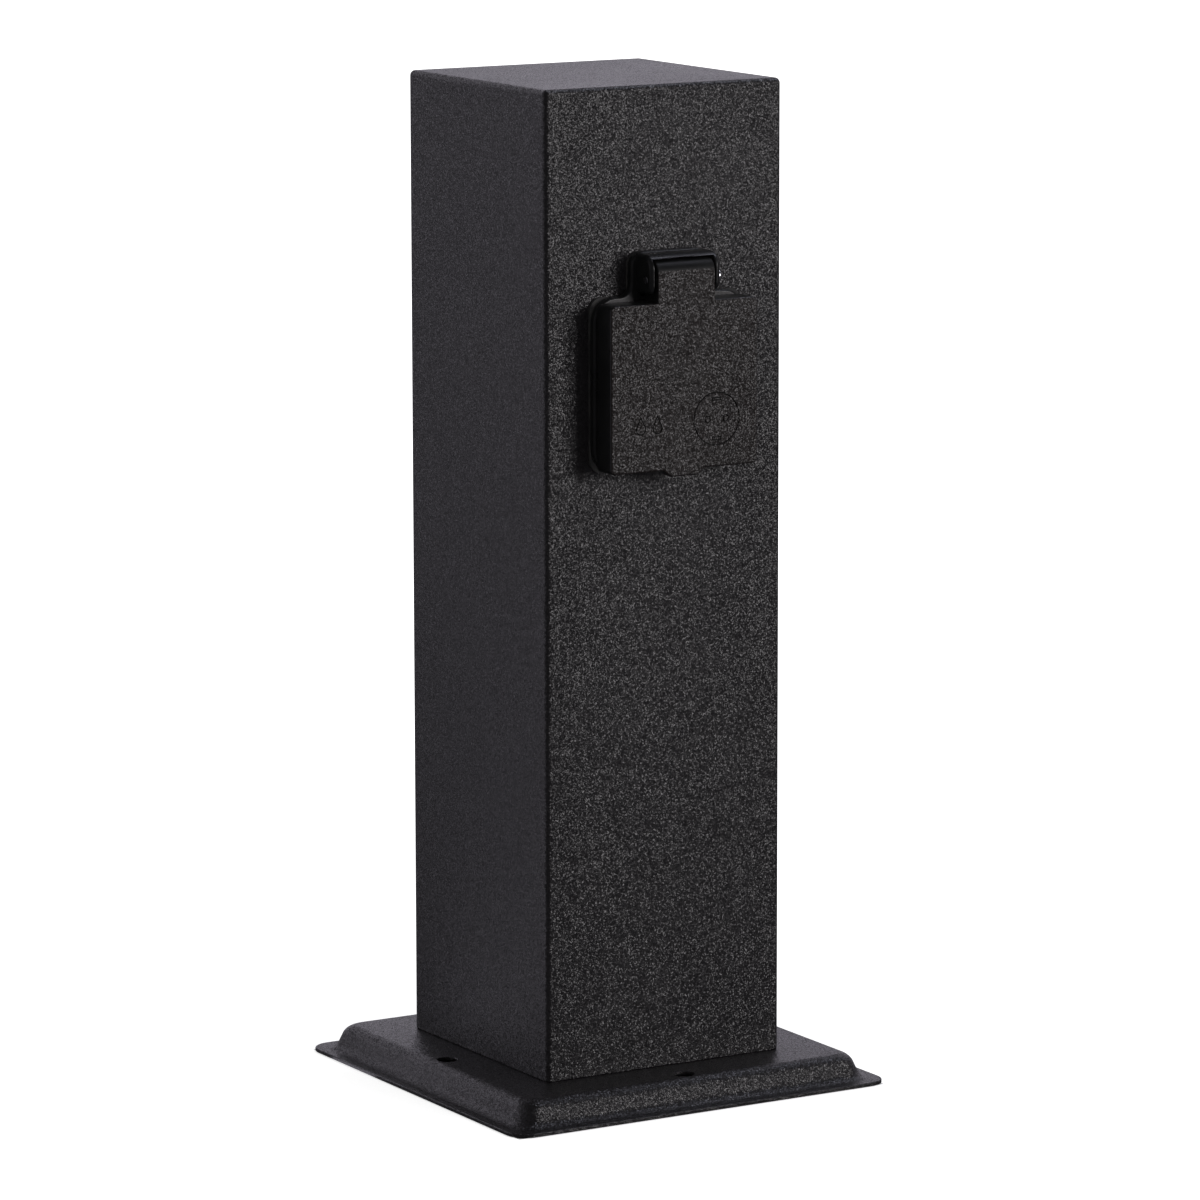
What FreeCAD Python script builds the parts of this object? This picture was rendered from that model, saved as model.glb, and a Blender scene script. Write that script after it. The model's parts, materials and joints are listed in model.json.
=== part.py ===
import FreeCAD, Part
import math
import os
import Sketcher

# Outdoor socket column: a square sheet-metal column on a pressed foot pan, with one
# round earthed socket behind a sprung flap on its front. Millimetres, +Z up, the front
# faces -Y, and the origin is the middle of the foot on the ground.

# Driving dimensions
SIZES = {
    # Column
    "overall_height": 374.0,
    "column_width": 100.0,
    "column_wall": 2.0,
    "column_bend": 2.0,
    # Foot pan
    "base_width": 160.0,
    "base_corner": 8.0,
    "base_sheet": 1.5,
    "pan_height": 10.8,
    "pan_foot_inset": 5.3,
    "pan_corner": 9.5,
    "pan_slope": 20.0,
    "pan_foot_round": 4.0,
    "pan_top_round": 5.0,
    "anchor_inset": 16.0,
    "anchor_bore": 7.5,
    # Fixing of the column to the pan
    "lug_size": 22.0,
    "lug_thickness": 4.0,
    "lug_screw_inset": 11.0,
    "base_screw_size": 5.0,
    "base_screw_length": 9.0,
    "base_screw_head": 9.0,
    "base_screw_head_height": 3.0,
    "base_screw_drive": 3.0,
    "washer_width": 12.0,
    "washer_thickness": 1.0,
    "base_screw_gap": 0.3,
    # Cable entry
    "entry_hole": 30.0,
    "entry_lip": 3.0,
    "entry_flange": 2.0,
    "entry_bore": 12.0,
    "entry_nose": 9.0,
    # Socket frame
    "socket_height": 266.6,
    "seal_thickness": 1.0,
    "frame_ledge": 1.0,
    "frame_thickness": 3.0,
    "frame_corner": 5.0,
    "frame_above_pin": 9.6,
    "neck_margin": 1.7,
    "frame_neck_corner": 5.0,
    "collar_wall": 2.0,
    "collar_reach": 5.0,
    "skirt_wall": 2.2,
    "skirt_reach": 10.0,
    "cutout_gap": 1.0,
    "frame_screw_inset": 6.0,
    "frame_screw_size": 4.0,
    "frame_screw_head": 7.6,
    "frame_screw_length": 13.0,
    "rivet_nut_body": 6.0,
    "rivet_nut_flange": 9.0,
    "rivet_nut_flange_height": 0.8,
    "rivet_nut_length": 11.0,
    "rivet_nut_bulge": 7.5,
    "rivet_nut_bulge_length": 1.6,
    # Hinge
    "hinge_rise": 7.2,
    "hinge_setback": 4.1,
    "pin_size": 3.0,
    "pin_head": 5.3,
    "pin_head_height": 1.3,
    "pin_running_gap": 0.05,
    "ear_inner": 12.7,
    "ear_thickness": 1.9,
    "hood_wall": 1.6,
    "hood_gap": 0.5,
    "ear_setback": 0.3,
    "ear_below_pin": 5.0,
    "ear_above_pin": 9.2,
    "ear_top_round": 5.5,
    "ear_foot_round": 3.0,
    "window_height": 13.2,
    # Flap
    "lid_room": 6.0,
    "lid_front": 14.3,
    "lid_gap": 0.3,
    "lid_wall": 2.0,
    "lid_corner": 2.0,
    "lid_edge": 0.8,
    "lid_inner_corner": 1.0,
    "tongue_side_gap": 1.0,
    "tongue_back_gap": 0.5,
    "tongue_round": 4.7,
    "tongue_radius": 8.8,
    "tongue_cheek": 2.0,
    "tongue_wall": 1.5,
    "tab_foot": 11.0,
    "tab_root": 18.0,
    "tab_drop": 2.4,
    "tab_depth": 4.0,
    "lid_seal_lip": 1.0,
    "lid_seal_overlap": 3.5,
    "lid_seal_gap": 0.3,
    # Closing spring
    "spring_wire": 0.7,
    "spring_radius": 1.95,
    "spring_turns": 6.0,
    "spring_pitch": 1.3,
    "spring_leg": 7.0,
    "spring_foot": 2.0,
    # Plug recess
    "recess_width": 39.6,
    "recess_depth": 17.5,
    "cup_wall": 2.0,
    "cup_floor": 3.0,
    "cup_rim_ledge": 1.2,
    "cup_rim_height": 1.5,
    "fit_gap": 0.1,
    "pin_spacing": 19.0,
    "pin_hole": 5.5,
    "guide_width": 5.0,
    "guide_height": 2.0,
    "clip_slot_gap": 0.5,
    # Carrier and contacts
    "carrier_disc": 5.0,
    "carrier_depth": 19.0,
    "carrier_cheek": 4.5,
    "carrier_corner": 1.0,
    "chamber_gap": 0.5,
    "chamber_wall": 1.5,
    "carrier_web": 1.5,
    "contact_bore": 5.0,
    "contact_wall": 1.2,
    "contact_length": 12.0,
    "contact_slit": 1.0,
    "cube_size": 7.0,
    "cube_height": 9.0,
    "cube_overlap": 0.7,
    "cube_wire_hole": 7.2,
    "clamp_screw_size": 3.0,
    "clamp_screw_head": 5.0,
    "clamp_screw_head_height": 1.8,
    "clamp_screw_slot": 0.8,
    "clip_width": 8.0,
    "clip_thickness": 0.8,
    "clip_bump": 3.2,
    "clip_knee": 3.0,
    "clip_peak": 8.0,
    "clip_tip": 13.0,
    "centre_screw_size": 3.5,
    "centre_screw_head": 6.5,
    "centre_screw_length": 11.0,
    # Supply terminals
    "bracket_thickness": 1.5,
    "bracket_width": 44.0,
    "bracket_bottom": 28.0,
    "bracket_height": 66.0,
    "block_bottom": 60.0,
    "block_height": 20.0,
    "block_width": 36.0,
    "block_depth": 13.0,
    "pole_spacing": 12.0,
    "sleeve_wall": 0.9,
    "sleeve_length": 16.0,
    "pole_screw_size": 3.0,
    "pole_screw_offset": 5.0,
    "pole_screw_sink": 1.0,
    "pole_screw_slot": 0.6,
    "pole_funnel_gap": 0.5,
    "block_screw_spacing": 12.0,
    "block_screw_head": 5.0,
    "block_screw_head_height": 1.6,
    "stud_size": 5.0,
    "stud_length": 12.0,
    "stud_height": 42.0,
    "nut_width": 8.0,
    "nut_height": 4.0,
    "ring_width": 9.5,
    "ring_thickness": 0.8,
    "ring_barrel_wall": 0.7,
    "ring_barrel_length": 5.0,
    "ring_shoulder": 1.0,
    # Wires
    "wire_size": 2.8,
    "wire_room": 0.3,
    "wire_entry_room": 0.4,
    "wire_overlap": 7.0,
    "link_overlap": 6.0,
    "wire_clamped": 5.0,
}

doc = FreeCAD.newDocument("outdoor_socket_column")
sheet = doc.addObject("Spreadsheet::Sheet", "Sizes")
for row, (alias, number) in enumerate(SIZES.items(), start=1):
    sheet.set(f"A{row}", alias.replace("_", " "))
    sheet.set(f"B{row}", str(number))
    sheet.setAlias(f"B{row}", alias)
doc.recompute()


class Size:
    """A length together with the formula that gives it from the sheet."""

    def __init__(self, number, formula):
        self.number = float(number)
        self.formula = formula

    def __add__(self, other):
        other = as_size(other)
        return Size(self.number + other.number, f"({self.formula} + {other.formula})")

    def __sub__(self, other):
        other = as_size(other)
        return Size(self.number - other.number, f"({self.formula} - {other.formula})")

    def __mul__(self, factor):
        factor = as_size(factor)
        return Size(self.number * factor.number, f"({self.formula} * {factor.formula})")

    def __truediv__(self, divisor):
        divisor = as_size(divisor)
        return Size(self.number / divisor.number, f"({self.formula} / {divisor.formula})")

    def __neg__(self):
        return Size(-self.number, f"(0 - {self.formula})")

    def __radd__(self, other):
        return as_size(other) + self

    def __rsub__(self, other):
        return as_size(other) - self

    def __rmul__(self, other):
        return as_size(other) * self

    def __float__(self):
        return self.number


def as_size(thing):
    if isinstance(thing, Size):
        return thing
    return Size(thing, repr(float(thing)))


class Sheet:
    """Reads each driving dimension from the sheet by its alias."""

    def __getattr__(self, alias):
        return Size(sheet.get(alias), f"Sizes.{alias}")


S = Sheet()

# Places that several pieces share, all from the driving dimensions
HALF = S.column_width / 2
INNER = HALF - S.column_wall
BASE_HALF = S.base_width / 2
ANCHOR = BASE_HALF - S.anchor_inset
CLEARANCE = S.base_screw_size + 2 * S.base_screw_gap
CENTRE = S.socket_height
CUP_WIDTH = S.recess_width + 2 * S.cup_wall
CUP_RIM = CUP_WIDTH + 2 * S.cup_rim_ledge
SKIRT_WIDTH = CUP_WIDTH + 2 * S.skirt_wall
CUTOUT = SKIRT_WIDTH + 2 * S.cutout_gap
COLLAR_WIDTH = CUP_RIM + 2 * S.collar_wall
LID_HALF = COLLAR_WIDTH / 2 + S.lid_room
FRAME_HALF = LID_HALF + S.frame_ledge
LID_TOP = CENTRE + LID_HALF
LID_LOW = CENTRE - LID_HALF
HINGE_Z = LID_TOP + S.hinge_rise
HINGE_DEPTH = S.lid_front - S.hinge_setback
EAR_FRONT = S.lid_front - S.ear_setback
EAR_LOW = HINGE_Z - S.ear_below_pin
EAR_HIGH = HINGE_Z + S.ear_above_pin
FRAME_TOP = HINGE_Z + S.frame_above_pin
HOOD_UNDER = EAR_HIGH - S.hood_wall
TONGUE_TOP = HOOD_UNDER - S.hood_gap
TONGUE_WIDTH = 2 * (S.ear_inner - S.tongue_side_gap)
WINDOW_LOW = HINGE_Z - S.window_height / 2
WINDOW_HIGH = HINGE_Z + S.window_height / 2
FRAME_BACK = S.seal_thickness
FRAME_FRONT = S.seal_thickness + S.frame_thickness
COLLAR_FRONT = FRAME_FRONT + S.collar_reach
CUP_FLOOR = COLLAR_FRONT - S.recess_depth
CUP_BACK = CUP_FLOOR - S.cup_floor
LID_BACK = FRAME_FRONT + S.lid_gap
LID_INSIDE = S.lid_front - S.lid_wall
SKIRT_BACK = FRAME_BACK - S.skirt_reach
BLOCK_BACK = SKIRT_BACK - S.carrier_depth
CHAMBER_HALF = S.cube_height / 2 + S.chamber_gap
BLOCK_HALF = CHAMBER_HALF + S.carrier_cheek
CUBE_AHEAD = BLOCK_BACK + S.clamp_screw_head_height + S.cube_size + 2 * S.fit_gap
CUBE_BEHIND = CUBE_AHEAD - S.cube_size
WIRE_ENTRY = CUBE_AHEAD - S.cube_size / 2
STRAP_BACK = BLOCK_BACK - S.clip_thickness
CLIP_LINE = S.recess_width / 2 + S.cup_wall / 2
CLIP_SLOT = S.clip_width + 2 * S.clip_slot_gap
PIN_X = S.pin_spacing / 2
SLEEVE_HALF = S.contact_bore / 2 + S.contact_wall
CUBE_X = PIN_X + SLEEVE_HALF + S.cube_size / 2 - S.cube_overlap
CUBE_Z = (CENTRE - S.cube_height / 2, CENTRE + S.cube_height / 2)
LUG_PLACE = INNER - S.lug_screw_inset
RIVET = FRAME_HALF - S.frame_screw_inset
BLOCK_FACE = INNER - S.bracket_thickness
POLE_X = BLOCK_FACE - S.block_depth / 2
POLE_BORE = S.wire_size + 2 * S.wire_room
POLE_SLEEVE = POLE_BORE + 2 * S.sleeve_wall
RING_BARREL = S.wire_size + 2 * S.ring_barrel_wall

# Shares of a screw's head that its cross takes: how wide, how deep, and each arm
CROSS_WIDTH = 0.55
CROSS_DEPTH = 0.17
CROSS_ARM = 0.25


def out(depth):
    """The Y of a plane that lies depth in front of the column's front face."""
    return -(HALF + depth)


def bind(thing, path, size):
    thing.setExpression(path, as_size(size).formula)


# Primitive pieces

def name_it(thing, label):
    thing.Label = label
    return thing


def put(thing, x, y, z):
    thing.Placement.Base = FreeCAD.Vector(float(x), float(y), float(z))
    bind(thing, "Placement.Base.x", x)
    bind(thing, "Placement.Base.y", y)
    bind(thing, "Placement.Base.z", z)


def block(label, x, y, z):
    """A box from three (low, high) pairs."""
    thing = doc.addObject("Part::Box", label)
    bind(thing, "Length", x[1] - x[0])
    bind(thing, "Width", y[1] - y[0])
    bind(thing, "Height", z[1] - z[0])
    put(thing, x[0], y[0], z[0])
    return thing


TURNS = {
    "+X": FreeCAD.Rotation(FreeCAD.Vector(0, 1, 0), 90),
    "-X": FreeCAD.Rotation(FreeCAD.Vector(0, 1, 0), -90),
    "+Y": FreeCAD.Rotation(FreeCAD.Vector(1, 0, 0), -90),
    "-Y": FreeCAD.Rotation(FreeCAD.Vector(1, 0, 0), 90),
    "+Z": FreeCAD.Rotation(),
    "-Z": FreeCAD.Rotation(FreeCAD.Vector(1, 0, 0), 180),
}


def rod(label, way, start, width, length):
    """A cylinder that starts at a point and runs the given way."""
    thing = doc.addObject("Part::Cylinder", label)
    bind(thing, "Radius", width / 2)
    bind(thing, "Height", length)
    thing.Placement.Rotation = TURNS[way]
    put(thing, *start)
    return thing


def taper(label, way, start, width, end_width, length):
    thing = doc.addObject("Part::Cone", label)
    bind(thing, "Radius1", width / 2)
    bind(thing, "Radius2", end_width / 2)
    bind(thing, "Height", length)
    thing.Placement.Rotation = TURNS[way]
    put(thing, *start)
    return thing


def minus(label, base, *tools):
    for number, tool in enumerate(tools, start=1):
        cut = doc.addObject("Part::Cut", f"{label}_less_{number}")
        cut.Base = base
        cut.Tool = tool
        base = cut
    return name_it(base, label)


def joined(label, *pieces):
    thing = doc.addObject("Part::MultiFuse", label)
    thing.Shapes = list(pieces)
    return thing


def group(label, pieces):
    thing = doc.addObject("Part::Compound", label)
    thing.Links = list(pieces)
    return thing


# Sketches and features

def new_body(label):
    return doc.addObject("PartDesign::Body", label)


def new_sketch(body, name, role, offset=0):
    sketch = body.newObject("Sketcher::SketchObject", name)
    plane = next(feature for feature in body.Origin.OriginFeatures if feature.Role == role)
    sketch.AttachmentSupport = [(plane, "")]
    sketch.MapMode = "FlatFace"
    bind(sketch, "AttachmentOffset.Base.z", offset)
    return sketch


def front_sketch(body, name, depth):
    """A sketch seen from the front, in a plane that lies depth before the front face."""
    return new_sketch(body, name, "XZ_Plane", HALF + depth)


def constrain(sketch, *terms, size=None):
    if size is None:
        return sketch.addConstraint(Sketcher.Constraint(*terms))
    index = sketch.addConstraint(Sketcher.Constraint(*terms, float(size)))
    bind(sketch, f"Constraints[{index}]", size)
    return index


def pin_point(sketch, edge, end, x, y):
    """Ties a point of the sketch to its place from the origin."""
    if float(x) == 0:
        constrain(sketch, "PointOnObject", edge, end, -2)
    else:
        constrain(sketch, "DistanceX", -1, 1, edge, end, size=x)
    if float(y) == 0:
        constrain(sketch, "PointOnObject", edge, end, -1)
    else:
        constrain(sketch, "DistanceY", -1, 1, edge, end, size=y)


def spot(x, y):
    return FreeCAD.Vector(float(x), float(y), 0)


def draw_circle(sketch, x, y, width):
    circle = Part.Circle(spot(x, y), FreeCAD.Vector(0, 0, 1), float(width) / 2)
    edge = sketch.addGeometry(circle, False)
    pin_point(sketch, edge, 3, x, y)
    constrain(sketch, "Diameter", edge, size=as_size(width))


def draw_outline(sketch, corners):
    """A closed outline of straight lines through the corners."""
    edges = []
    for number, corner in enumerate(corners):
        after = corners[(number + 1) % len(corners)]
        edges.append(sketch.addGeometry(Part.LineSegment(spot(*corner), spot(*after)), False))
    for number, edge in enumerate(edges):
        constrain(sketch, "Coincident", edge, 2, edges[(number + 1) % len(edges)], 1)
        pin_point(sketch, edge, 1, *corners[number])


def draw_rounded(sketch, x, y, radius):
    """A rectangle from two (low, high) pairs, with round corners."""
    r = float(radius)
    low_x, high_x, low_y, high_y = float(x[0]), float(x[1]), float(y[0]), float(y[1])
    centres = [(high_x - r, high_y - r), (low_x + r, high_y - r),
               (low_x + r, low_y + r), (high_x - r, low_y + r)]
    ends = [((low_x + r, high_y), (high_x - r, high_y)), ((low_x, low_y + r), (low_x, high_y - r)),
            ((high_x - r, low_y), (low_x + r, low_y)), ((high_x, high_y - r), (high_x, low_y + r))]
    arcs = []
    for number, centre in enumerate(centres):
        circle = Part.Circle(spot(*centre), FreeCAD.Vector(0, 0, 1), r)
        start = number * math.pi / 2
        arcs.append(sketch.addGeometry(Part.ArcOfCircle(circle, start, start + math.pi / 2), False))
    lines = []
    for first, last in ends:
        lines.append(sketch.addGeometry(Part.LineSegment(spot(*last), spot(*first)), False))
    for number in range(4):
        constrain(sketch, "Tangent", arcs[number], 2, lines[number], 1)
        constrain(sketch, "Tangent", lines[number], 2, arcs[(number + 1) % 4], 1)
    for number in range(3):
        constrain(sketch, "Equal", arcs[number], arcs[number + 1])
    constrain(sketch, "Horizontal", lines[0])
    constrain(sketch, "Vertical", lines[1])
    constrain(sketch, "Horizontal", lines[2])
    constrain(sketch, "Vertical", lines[3])
    constrain(sketch, "Radius", arcs[0], size=as_size(radius))
    constrain(sketch, "DistanceX", -1, 1, lines[1], 1, size=as_size(x[0]))
    constrain(sketch, "DistanceX", -1, 1, lines[3], 1, size=as_size(x[1]))
    constrain(sketch, "DistanceY", -1, 1, lines[2], 1, size=as_size(y[0]))
    constrain(sketch, "DistanceY", -1, 1, lines[0], 1, size=as_size(y[1]))


def pad(body, name, sketch, length, backwards=False, both_ways=False, slope=None):
    feature = body.newObject("PartDesign::Pad", name)
    feature.Profile = sketch
    feature.Reversed = backwards
    if both_ways:
        feature.SideType = "Symmetric"
    if slope is not None:
        bind(feature, "TaperAngle", slope)
    bind(feature, "Length", length)
    doc.recompute()
    return feature


def pocket(body, name, sketch, length, backwards=False, both_ways=False, slope=None):
    """Cuts the sketch out against its normal, or along it when backwards."""
    before = body.Shape.Volume
    feature = body.newObject("PartDesign::Pocket", name)
    feature.Profile = sketch
    feature.Reversed = backwards
    if both_ways:
        feature.SideType = "Symmetric"
    if slope is not None:
        bind(feature, "TaperAngle", slope)
    bind(feature, "Length", length)
    doc.recompute()
    if body.Shape.Volume >= before:
        raise RuntimeError(f"{name} cuts nothing from {body.Label}")
    return feature


def turned(body, name, sketch):
    """Turns the sketch round its own vertical axis."""
    feature = body.newObject("PartDesign::Revolution", name)
    feature.Profile = sketch
    feature.ReferenceAxis = (sketch, ["V_Axis"])
    feature.Angle = 360
    doc.recompute()
    return feature


def edges_where(shape, wanted):
    """Names of the shape's edges whose middle and direction suit the test."""
    names = []
    for number, edge in enumerate(shape.Edges, start=1):
        middle = edge.valueAt((edge.FirstParameter + edge.LastParameter) / 2)
        box = edge.BoundBox
        if wanted(middle, box):
            names.append(f"Edge{number}")
    return names


def rounding(body, name, base, wanted, radius):
    feature = body.newObject("PartDesign::Fillet", name)
    names = edges_where(base.Shape, wanted)
    if not names:
        raise RuntimeError(f"{name} finds no edge on {body.Label}")
    feature.Base = (base, names)
    bind(feature, "Radius", radius)
    doc.recompute()
    return feature


NEAR = 1e-3


def level(box, z):
    """True for an edge that lies flat at height z."""
    return abs(box.ZMin - float(z)) < NEAR and abs(box.ZMax - float(z)) < NEAR


# Column: bent sheet with a closed top, open below, with the socket's cut-out in front

def make_column():
    body = new_body("column_housing")
    outer = new_sketch(body, "column_outer", "XY_Plane", S.pan_height)
    draw_rounded(outer, (-HALF, HALF), (-HALF, HALF), S.column_bend)
    solid = pad(body, "column_solid", outer, S.overall_height - S.pan_height)
    top = rounding(body, "column_top_bend", solid,
                   lambda middle, box: level(box, S.overall_height), S.column_bend)
    inner = new_sketch(body, "column_inner", "XY_Plane", S.pan_height)
    draw_outline(inner, [(-INNER, -INNER), (INNER, -INNER), (INNER, INNER), (-INNER, INNER)])
    pocket(body, "column_hollow", inner, S.overall_height - S.pan_height - S.column_wall, backwards=True)
    front = front_sketch(body, "column_front_cuts", 0)
    draw_circle(front, 0, CENTRE, CUTOUT)
    for x in (-RIVET, RIVET):
        for z in (CENTRE - RIVET, CENTRE + RIVET):
            draw_circle(front, x, z, S.rivet_nut_body)
    pocket(body, "column_cutout", front, S.column_wall)
    return body


# Foot pan: a flat lip, a sloped pressed step and a flat top, hollow underneath

def make_base():
    body = new_body("base_plate")
    lip = new_sketch(body, "lip_outline", "XY_Plane")
    draw_rounded(lip, (-BASE_HALF, BASE_HALF), (-BASE_HALF, BASE_HALF), S.base_corner)
    pad(body, "lip", lip, S.base_sheet)
    foot = BASE_HALF - S.pan_foot_inset
    step = new_sketch(body, "step_outline", "XY_Plane")
    draw_rounded(step, (-foot, foot), (-foot, foot), S.pan_corner)
    raised = pad(body, "step", step, S.pan_height, slope=-S.pan_slope)
    inside = float(BASE_HALF - S.pan_foot_inset / 2)
    diagonal = 2 * float(BASE_HALF - S.pan_foot_inset)
    foot_edges = rounding(body, "step_foot_bend", raised,
                          lambda middle, box: level(box, S.base_sheet)
                          and max(abs(middle.x), abs(middle.y)) < inside
                          and abs(middle.x) + abs(middle.y) < diagonal,
                          S.pan_foot_round)
    top_edges = rounding(body, "step_top_bend", foot_edges,
                         lambda middle, box: level(box, S.pan_height), S.pan_top_round)
    slant = S.base_sheet / math.cos(math.radians(float(S.pan_slope)))
    hollow = new_sketch(body, "hollow_outline", "XY_Plane")
    low = foot - slant
    draw_rounded(hollow, (-low, low), (-low, low), S.pan_corner - slant)
    pocket(body, "hollow", hollow, S.pan_height - S.base_sheet, backwards=True, slope=-S.pan_slope)
    holes = new_sketch(body, "pan_holes", "XY_Plane", S.pan_height)
    for x, y in ((ANCHOR, 0), (-ANCHOR, 0), (0, ANCHOR), (0, -ANCHOR)):
        draw_circle(holes, x, y, S.anchor_bore)
    for x in (-LUG_PLACE, LUG_PLACE):
        for y in (-LUG_PLACE, LUG_PLACE):
            draw_circle(holes, x, y, CLEARANCE)
    draw_circle(holes, 0, 0, S.entry_hole)
    pocket(body, "pan_bores", holes, S.base_sheet)
    return body


# Threaded lugs in the column's foot, with the screws and washers that hold the pan to them

def corners():
    for number, (side_x, side_y) in enumerate(((1, 1), (-1, 1), (-1, -1), (1, -1)), start=1):
        yield number, side_x, side_y


def make_lugs():
    lugs = []
    for number, side_x, side_y in corners():
        reach = INNER - S.lug_size
        x = (reach, INNER) if side_x > 0 else (-INNER, -reach)
        y = (reach, INNER) if side_y > 0 else (-INNER, -reach)
        top = S.pan_height + S.lug_thickness
        plate = block(f"lug_plate_{number}", x, y, (S.pan_height, top))
        start = (LUG_PLACE * side_x, LUG_PLACE * side_y, S.pan_height)
        thread = rod(f"lug_thread_{number}", "+Z", start, S.base_screw_size, S.lug_thickness)
        lugs.append(minus(f"lug_{number}", plate, thread))
    return group("corner_lugs", lugs)


UNDER_PAN = S.pan_height - S.base_sheet
SCREW_SEAT = UNDER_PAN - S.washer_thickness


def make_base_screws():
    screws = []
    for number, side_x, side_y in corners():
        place = (LUG_PLACE * side_x, LUG_PLACE * side_y)
        shank = rod(f"base_screw_shank_{number}", "+Z", (*place, SCREW_SEAT),
                    S.base_screw_size, S.base_screw_length)
        head = rod(f"base_screw_head_{number}", "-Z", (*place, SCREW_SEAT),
                   S.base_screw_head, S.base_screw_head_height)
        drive = S.base_screw_drive
        low = SCREW_SEAT - S.base_screw_head_height
        recess = block(f"base_screw_drive_{number}",
                       (place[0] - drive / 2, place[0] + drive / 2),
                       (place[1] - drive / 2, place[1] + drive / 2),
                       (low, low + S.base_screw_head_height / 2))
        whole = joined(f"base_screw_whole_{number}", shank, head)
        screws.append(minus(f"base_screw_{number}", whole, recess))
    return group("base_screws", screws)


def make_base_washers():
    washers = []
    for number, side_x, side_y in corners():
        start = (LUG_PLACE * side_x, LUG_PLACE * side_y, SCREW_SEAT)
        disc = rod(f"base_washer_disc_{number}", "+Z", start, S.washer_width, S.washer_thickness)
        bore = rod(f"base_washer_bore_{number}", "+Z", start, CLEARANCE, S.washer_thickness)
        washers.append(minus(f"base_washer_{number}", disc, bore))
    return group("base_washers", washers)


# Rubber cable entry in the middle of the pan

def make_grommet():
    body = new_body("cable_grommet")
    profile = new_sketch(body, "grommet_profile", "XZ_Plane")
    bore = S.entry_bore / 2
    waist = S.entry_hole / 2
    flange = waist + S.entry_lip
    low = UNDER_PAN - S.entry_flange
    high = S.pan_height + S.entry_flange
    nose = S.pan_height + S.entry_nose
    draw_outline(profile, [
        (bore, low), (flange, low), (flange, UNDER_PAN), (waist, UNDER_PAN),
        (waist, S.pan_height), (flange, S.pan_height), (flange, high),
        (waist, high), (bore + S.entry_lip, nose), (bore, nose)])
    turned(body, "grommet_turning", profile)
    return body


# Seal between the column and the socket frame

def frame_plate(body, back, thickness):
    """The flange outline that the seal and the frame share."""
    square = front_sketch(body, f"{body.Label}_square", back)
    draw_rounded(square, (-FRAME_HALF, FRAME_HALF), (CENTRE - FRAME_HALF, CENTRE + FRAME_HALF),
                 S.frame_corner)
    pad(body, f"{body.Label}_plate", square, thickness)
    upper = front_sketch(body, f"{body.Label}_neck_outline", back)
    neck = S.ear_inner + S.ear_thickness + S.neck_margin
    draw_rounded(upper, (-neck, neck), (CENTRE, FRAME_TOP), S.frame_neck_corner)
    pad(body, f"{body.Label}_neck", upper, thickness)
    window = front_sketch(body, f"{body.Label}_window_outline", back + thickness)
    draw_outline(window, [(-S.ear_inner, WINDOW_LOW), (S.ear_inner, WINDOW_LOW),
                          (S.ear_inner, WINDOW_HIGH), (-S.ear_inner, WINDOW_HIGH)])
    pocket(body, f"{body.Label}_window", window, thickness)


def screw_spots():
    for x in (-RIVET, RIVET):
        for z in (CENTRE - RIVET, CENTRE + RIVET):
            yield x, z


def make_flange_gasket():
    body = new_body("flange_gasket")
    frame_plate(body, as_size(0), S.seal_thickness)
    holes = front_sketch(body, "seal_holes", S.seal_thickness)
    draw_circle(holes, 0, CENTRE, CUTOUT)
    for x, z in screw_spots():
        draw_circle(holes, x, z, S.rivet_nut_flange + 2 * S.fit_gap)
    pocket(body, "seal_bores", holes, S.seal_thickness)
    return body


# Socket frame: flange, hinge neck with a hood over the hinge, collar in front, skirt behind

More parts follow.
